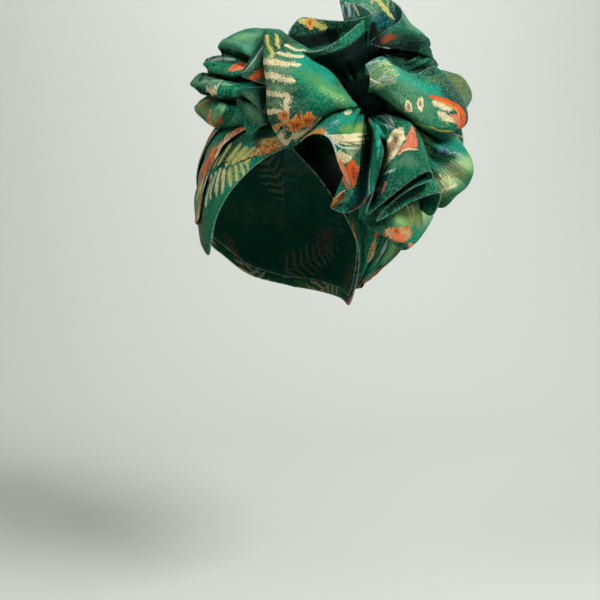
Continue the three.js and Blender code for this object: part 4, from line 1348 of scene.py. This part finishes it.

# What the photograph shows printed on each piece, with a few painted highlights where marked: a kind of
# motif, its colour and its places. A place gives the pixel (x, y) that the motif starts at, the pixel it
# runs to, and its width. A later motif lies over an earlier one.
MOTIFS = {
    "crown_puff": [
        (glow, LIME, [(306, 72, 348, 106, 18)]), (glow, SPRING, [(318, 86, 346, 104, 8)]),
        (glow, SAGE, [(268, 71, 298, 72, 8), (268, 87, 298, 90, 8), (268, 102, 280, 104, 6)]),
        (leaf, STRAW, [(272, 58, 266, 34, 4), (280, 49, 275, 34, 3.5)]),
        (leaf, CREAM, [
            (284, 46, 306, 52, 2.5), (276, 54, 305, 58, 3), (262, 62, 301, 65, 5.5),
            (262, 74, 297, 82, 5.8), (263, 92, 291, 95, 5.6), (267, 110, 281, 112, 5),
            (289, 94, 285, 124, 6.5), (271, 134, 290, 141, 14), (290, 134, 312, 129, 4),
            (310, 130, 320, 117, 3.5)]),
        (bloom, CORAL, [(284, 116, 284, 109, 6)]), (leaf, AMBER, [(275, 128, 288, 122, 5)]),
        (bloom, ORANGE, [(296, 125, 296, 116, 9), (308, 120, 308, 114, 8)]),
        (bloom, CORAL, [(279, 142, 282, 136, 4)]), (leaf, DEEP, [(285, 139, 292, 132, 5)]),
        (leaf, EMERALD, [(274, 136, 279, 129, 4)]),
    ],
    "brow_band_inner": [
        (leaf, CREAM, [
            (211, 174, 207, 206, 3.8), (215, 170, 213, 200, 4), (219, 168, 218, 198, 4.4),
            (224, 168, 224, 193, 4.4)]),
        (leaf, STRAW, [
            (230, 167, 231, 187, 4.4), (236, 166, 238, 182, 3.6), (242, 164, 244, 177, 3.2),
            (247, 162, 249, 171, 2.8), (213, 169, 221, 154, 4), (217, 166, 234, 144, 5),
            (225, 166, 242, 144, 5), (232, 165, 249, 146, 4.8), (238, 164, 255, 148, 4.4),
            (245, 162, 260, 151, 3.6)]),
        (leaf, NIGHT, [
            (206, 182, 218, 167, 1.4), (214, 168, 238, 165, 1.4), (236, 165, 258, 155, 1.4)]),
        (spray, AMBER, [(258, 153, 276, 147, 11)]), (spray, GOLD, [(262, 144, 280, 140, 8)]),
        (spray, ORANGE, [(268, 151, 280, 146, 6)]),
    ],
    "brow_band_middle": [
        (leaf, CREAM, [(214, 158, 228, 140, 3)]), (leaf, STRAW, [(218, 160, 234, 142, 3)]),
        (leaf, CREAM, [(222, 148, 230, 132, 3)]),
        (spray, CORAL, [(230, 140, 250, 128, 11), (199, 176, 214, 154, 13)]),
        (spray, ORANGE, [(212, 158, 226, 144, 7)]), (leaf, STRAW, [(198, 186, 206, 172, 3)]),
        (leaf, CREAM, [(200, 194, 204, 178, 3), (205, 192, 209, 178, 3)]),
        (leaf, AMBER, [(197, 226, 203, 198, 6)]), (leaf, CREAM, [(201, 232, 206, 206, 2.5)]),
    ],
    "brow_band_outer": [
        (leaf, AMBER, [(199, 158, 208, 140, 3)]), (spray, ORANGE, [(196, 176, 202, 160, 9)]),
        (leaf, CREAM, [(193, 200, 196, 178, 3)]),
    ],
    "rosette_fan": [
        (brush, PALE, [(326, 130, 340, 123, 10)]), (glow, GOLD, [(344, 130, 364, 127, 10)]),
        (glow, CREAM, [(336, 139, 366, 139, 7)]),
        (leaf, CREAM, [(369, 105, 369, 125, 5), (344, 115, 352, 112, 3)]),
        (leaf, PALE, [(325, 131, 337, 156, 3.5)]), (leaf, CREAM, [(337, 153, 350, 160, 11)]),
        (petal, ORANGE, [(352, 160, 352, 186, 12)]), (leaf, AMBER, [(304, 142, 328, 140, 7)]),
        (brush, PALE, [(378, 106, 390, 134, 10)]), (brush, CREAM, [(386, 108, 392, 130, 6)]),
        (petal, CREAM, [(400, 127, 386, 166, 11)]), (wedge, CORAL, [(409, 150, 411, 128, 17)]),
        (leaf, CREAM, [(401, 150, 418, 149, 1.2)]), (glow, SAGE, [(394, 164, 416, 162, 12)]),
        (leaf, PALE, [(373, 185, 384, 174, 1.4), (383, 175, 395, 169, 1.4)]),
        (leaf, CORAL, [(382, 193, 387, 181, 2.5)]), (leaf, UMBER, [(330, 208, 344, 192, 6)]),
        (leaf, AMBER, [(328, 207, 338, 200, 2.5)]), (leaf, CREAM, [(334, 200, 346, 190, 1.5)]),
    ],
    "ruffle_right": [
        (glow, SAGE, [(388, 90, 430, 106, 28)]), (brush, PALE, [(366, 72, 392, 62, 16)]),
        (brush, STRAW, [(368, 80, 398, 70, 14)]), (glow, SPRING, [(368, 78, 400, 68, 18)]),
        (brush, CREAM, [(370, 84, 396, 78, 8)]),
        (petal, CREAM, [(406, 111, 408, 100, 5.5), (419, 111, 421, 96, 5.5)]),
        (leaf, CREAM, [(432, 101, 452, 111, 6), (438, 114, 457, 121, 6)]),
        (leaf, CORAL, [(455, 115, 460, 127, 6)]),
    ],
    "ruffle_rear": [
        (glow, SAGE, [(446, 80, 464, 92, 22)]), (glow, GOLD, [(446, 80, 464, 92, 18)]),
        (leaf, CORAL, [(446, 84, 451, 95, 3)]),
    ],
    "ruffle_top": [
        (brush, PALE, [(350, 18, 352, 2, 14)]), (leaf, UMBER, [(377, 43, 396, 36, 7)]),
        (leaf, STRAW, [(298, 21, 328, 27, 6)]), (bloom, AMBER, [(310, 23, 316, 20, 5)]),
        (glow, SAGE, [(404, 16, 420, 34, 12)]),
    ],
    "ruffle_back": [
        (glow, SPRING, [(434, 190, 462, 166, 28), (420, 132, 428, 150, 14)]),
        (glow, CREAM, [(438, 188, 462, 166, 20)]), (brush, CREAM, [(436, 172, 466, 162, 12)]),
        (brush, PALE, [(444, 152, 464, 158, 8)]), (leaf, SLATE, [(434, 153, 448, 151, 8)]),
        (leaf, CREAM, [(434, 178, 460, 172, 2.5), (438, 192, 458, 184, 2.5)]),
    ],
    "ruffle_under": [
        # The SPRING glow is partly the print's lime and partly painted light.
        (glow, SPRING, [(404, 222, 428, 208, 22)]), (glow, GOLD, [(406, 222, 430, 210, 16)]),
        (leaf, CREAM, [(407, 204, 411, 222, 2), (413, 204, 413, 218, 2)]),
        (spray, ORANGE, [(386, 234, 410, 231, 11)]),
        (leaf, CORAL, [(388, 236, 408, 236, 4), (410, 242, 410, 251, 4)]),
    ],
    "side_drape": [
        (glow, SAGE, [(362, 276, 384, 246, 16)]), (leaf, PALE, [(387, 240, 374, 268, 1.4)]),
        (leaf, CREAM, [(370, 262, 373, 238, 8.5)]), (leaf, AMBER, [(370, 260, 372, 241, 5.5)]),
        (leaf, CORAL, [(373, 236, 387, 229, 7), (350, 299, 380, 272, 5)]),
        (glow, GOLD, [(392, 250, 386, 264, 7)]),
    ],
    "crown_gathers": [
        (glow, SAGE, [(230, 42, 262, 44, 24)]), (glow, SPRING, [(236, 38, 258, 36, 10)]),
        # The PALE brush and glow on the second lobe's top are partly print and partly a painted highlight,
        # and so is the SPRING glow down the fourth lobe.
        (brush, PALE, [(206, 65, 236, 60, 9)]), (glow, PALE, [(208, 63, 236, 60, 6)]),
        (glow, SAGE, [(192, 80, 240, 84, 9)]), (glow, GOLD, [(196, 96, 212, 118, 12)]),
        (glow, SPRING, [(227, 100, 219, 124, 6)]), (leaf, CREAM, [(211, 87, 218, 86, 4)]),
        (spray, ORANGE, [(198, 102, 205, 92, 8), (217, 126, 223, 114, 7)]),
    ],
    "crown_pleat": [
        (glow, SAGE, [(248, 74, 262, 46, 9)]), (leaf, PALE, [(263, 34, 243, 77, 1.6)]),
        (leaf, ORANGE, [(250, 79, 264, 72, 6)]),
    ],
    "rosette_neck": [(leaf, MOSS, [(357, 50, 362, 96, 1), (362, 56, 366, 90, 1)])],
    "temple_band": [
        (leaf, AMBER, [(350, 222, 358, 250, 1.6)]), (leaf, CORAL, [(346, 303, 360, 288, 7)]),
    ],
    "temple_pleat_upper": [(glow, SAGE, [(242, 94, 258, 104, 10)])],
    "temple_pleat_lower": [(glow, SAGE, [(246, 106, 262, 122, 12)])],
}

GROUND = grouped("ground_print", ("u", "v", "seed", "loose"), ground_print)
DRAWING = {draw: motif_group(draw) for draw in (leaf, wedge, petal, bloom, spray, brush, glow)}


def brocade(node, seed):
    """The printed brocade of one piece: its ground, washes, motifs, streaks, painted shade, edge and
    weave.
    """
    material, tree, shader = new_material(node + "_print")
    cloth = new_node(tree, "UVMap", {}, uv_map="cloth")
    u, v, _ = split(tree, cloth.outputs[0], "XYZ")
    ground = use(tree, GROUND, u=u, v=v, seed=seed, loose=attribute(tree, "loose")[0])
    color, fleck, draw, worn = (ground[label] for label in ("color", "fleck", "draw", "worn"))

    _, wash, strength = attribute(tree, "wash")
    strewn = fleck * step(strength * 1.15 - draw, 0.0, 0.1)
    color = paint(color, wash, (strength ** 1.5).work("MAXIMUM", strewn * 0.85))
    color = sprinkled(color, NIGHT, fleck, draw, 0.32, 0.28, 0.45)
    color = sprinkled(color, SAGE, fleck, draw, 0.7, 0.74, 0.26)
    for kind, ink, places in MOTIFS.get(node, []):
        for at_x, at_y, to_x, to_y, width in places:
            length, rows = shown(cloth_rays, node, (at_x, at_y), (to_x, to_y), width)
            fit = {label: float(value) for label, value in zip("abcdef", rows)}
            color = use(
                tree, DRAWING[kind], base=color, ink=ink, u=ground["x"], v=ground["y"], length=length,
                width=float(width), fleck=fleck, draw=draw, worn=worn, **fit)["color"]
    color = sprinkled(color, NIGHT, fleck, draw, 0.22, 0.18, 0.35)
    _, streak, strength = attribute(tree, "streak")
    ragged = step(strength + (worn - 0.5) * 0.5, 0.36, 0.5)
    color = paint(color, streak, ragged * gaps(fleck, draw, 0.4, 0.36, 0.4))

    color = paint(WRONG_SIDE, color, attribute(tree, "printed")[0])
    # Painted shade: the colour goes near black in deep folds and under the painted shade strokes.
    color = paint(NIGHT, color, step(attribute(tree, "painted_shade_lightness")[0], 0.08, 0.62))
    # A thin pale line along the chosen edges, broken up by the worn noise.
    pale_edge_line = step(attribute(tree, "edge")[0], 0.9, 0.5)
    color = paint(color, PALE, pale_edge_line * step(worn, 0.36, 0.56) * 0.3)
    tree.links.new(color.socket, shader.inputs["Base Color"])
    shader.inputs["Specular IOR Level"].default_value = 0.04
    rough_ground, smoother_fleck = 0.52, -0.12
    tree.links.new((fleck * smoother_fleck + rough_ground).socket, shader.inputs["Roughness"])
    thread = (u * (2 * np.pi / THREAD)).work("SINE") * (v * (2 * np.pi / THREAD)).work("SINE")
    relief = thread * 0.3 + fleck * 0.5 + ground["mottle"] * 1.5
    bump = new_node(tree, "Bump", {"Strength": 0.35, "Distance": 0.5 * MM, "Height": relief})
    tree.links.new(bump.outputs[0], shader.inputs["Normal"])
    return material


def new_material(name):
    """A material with its node tree and its shader."""
    material = bpy.data.materials.new(name)
    material.use_nodes = True
    return material, material.node_tree, material.node_tree.nodes["Principled BSDF"]


def attribute(tree, name):
    """What is laid on the cloth under a name: its number, its colour and the colour's strength."""
    node = new_node(tree, "Attribute", {}, attribute_name=name)
    return [Field(tree, node.outputs[label]) for label in ("Fac", "Color", "Alpha")]


def plain_material(name, color):
    """A matt material in one colour."""
    material, _, shader = new_material(name)
    shader.inputs["Base Color"].default_value = (*color, 1)
    shader.inputs["Roughness"].default_value = 0.9
    return material


def camera():
    """The photograph's viewpoint: a little above the brow, looking slightly down."""
    data = bpy.data.cameras.new("camera")
    data.sensor_width = SENSOR
    data.lens = LENS
    made = linked("camera", data)
    aimed(made, EYE * MM, AIM * MM)
    bpy.context.scene.camera = made


def stage():
    """A plain pale floor that sweeps up into a backdrop."""
    floor_height, reach, behind, tall = -0.45, 4.0, 1.6, 3.0
    bend, bend_steps = 0.8, 16
    profile = [(-reach, floor_height)]
    for k in range(bend_steps + 1):
        angle = np.pi / 2 * k / bend_steps
        profile.append((behind - bend + bend * np.sin(angle), floor_height + bend - bend * np.cos(angle)))
    profile.append((behind, tall))
    points, faces = [], []
    for k, (y, z) in enumerate(profile):
        points += [(-reach, y, z), (reach, y, z)]
        if k:
            faces.append((2 * k - 2, 2 * k - 1, 2 * k + 1, 2 * k))
    mesh = bpy.data.meshes.new("floor")
    mesh.from_pydata(points, [], faces)
    mesh.shade_smooth()
    made = linked("floor", mesh)
    made.data.materials.append(plain_material("pale_floor", (0.60, 0.625, 0.58)))


def light(name, place, aim, size, power):
    """A square lamp that shines from a place toward another."""
    data = bpy.data.lights.new(name, "AREA")
    data.size = size
    data.energy = power
    aimed(linked(name, data), place, aim)


def lights():
    """Soft studio light: a key from the front right and above, a fill, and a pale room."""
    middle = (0.03, 0, 0.05)
    light("key", (0.75, -0.9, 1.0), middle, 0.4, 30)
    light("fill", (-1.0, -0.8, 0.9), middle, 0.6, 12)
    light("rim", (1.2, 0.6, 0.7), middle, 0.9, 6)
    light("wall", (0.0, 0.7, 0.9), (0.0, 1.6, 0.6), 1.2, 8)
    world = bpy.data.worlds.new("room")
    bpy.context.scene.world = world
    world.use_nodes = True
    room = world.node_tree.nodes["Background"]
    room.inputs["Color"].default_value = (1, 1, 1, 1)
    room.inputs["Strength"].default_value = 0.1


grids = {
    "head_wrap": head_wrap(),
    "brow_band_inner": head_band(BANDS["inner"], 1, 2, 11),
    "brow_band_middle": head_band(BANDS["middle"], 2, 3, 12),
    "brow_band_outer": head_band(BANDS["outer"], 3, 3, 13),
    "temple_band": head_band(BANDS["temple"], 1, 2, 14),
    "crown_gathers": crown_gathers(),
    "crown_puff": crown_puff(),
    "rosette_neck": rosette_neck(),
    "rosette_fan": ruffle(HEART, FAN, 40, across=360, along=50, wave=0.8),
    "ruffle_right": right_ruffle(),
    "ruffle_top": ruffle(HEART, TOP_RUFFLE, 50, across=300, along=50),
    "ruffle_back": ruffle(HEART, BACK_RUFFLE, 60, across=140),
    "ruffle_under": ruffle(HEART, UNDER_RUFFLE, 70, root=0.42, across=140),
    "ruffle_rear": ruffle(HEART, REAR_RUFFLE, 80, across=160),
    "side_drape": ruffle(TAIL, SIDE_DRAPE, 90, root=0.12, across=180),
}
for node, corners in PLEATS.items():
    grids[node] = pleat(corners)
grids = {node: with_rims(pressed(node, grid), node in RINGS) for node, grid in grids.items()}
cloth_rays = cloth_tree(grids)
pieces = {node: sheet(node, grid, cloth_rays) for node, grid in grids.items()}

for seed, (node, piece) in enumerate(pieces.items()):
    piece.data.materials.append(brocade(node, float(seed)))
    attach(piece, "root")
    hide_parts(node)
    width, length, area = flat_size(grids[node], node in RINGS)
    under = [other + "_cloth" for other in RESTS_ON.get(node, ["rosette_neck"])]

camera()
stage()
lights()
bpy.context.scene.view_settings.view_transform = "Standard"
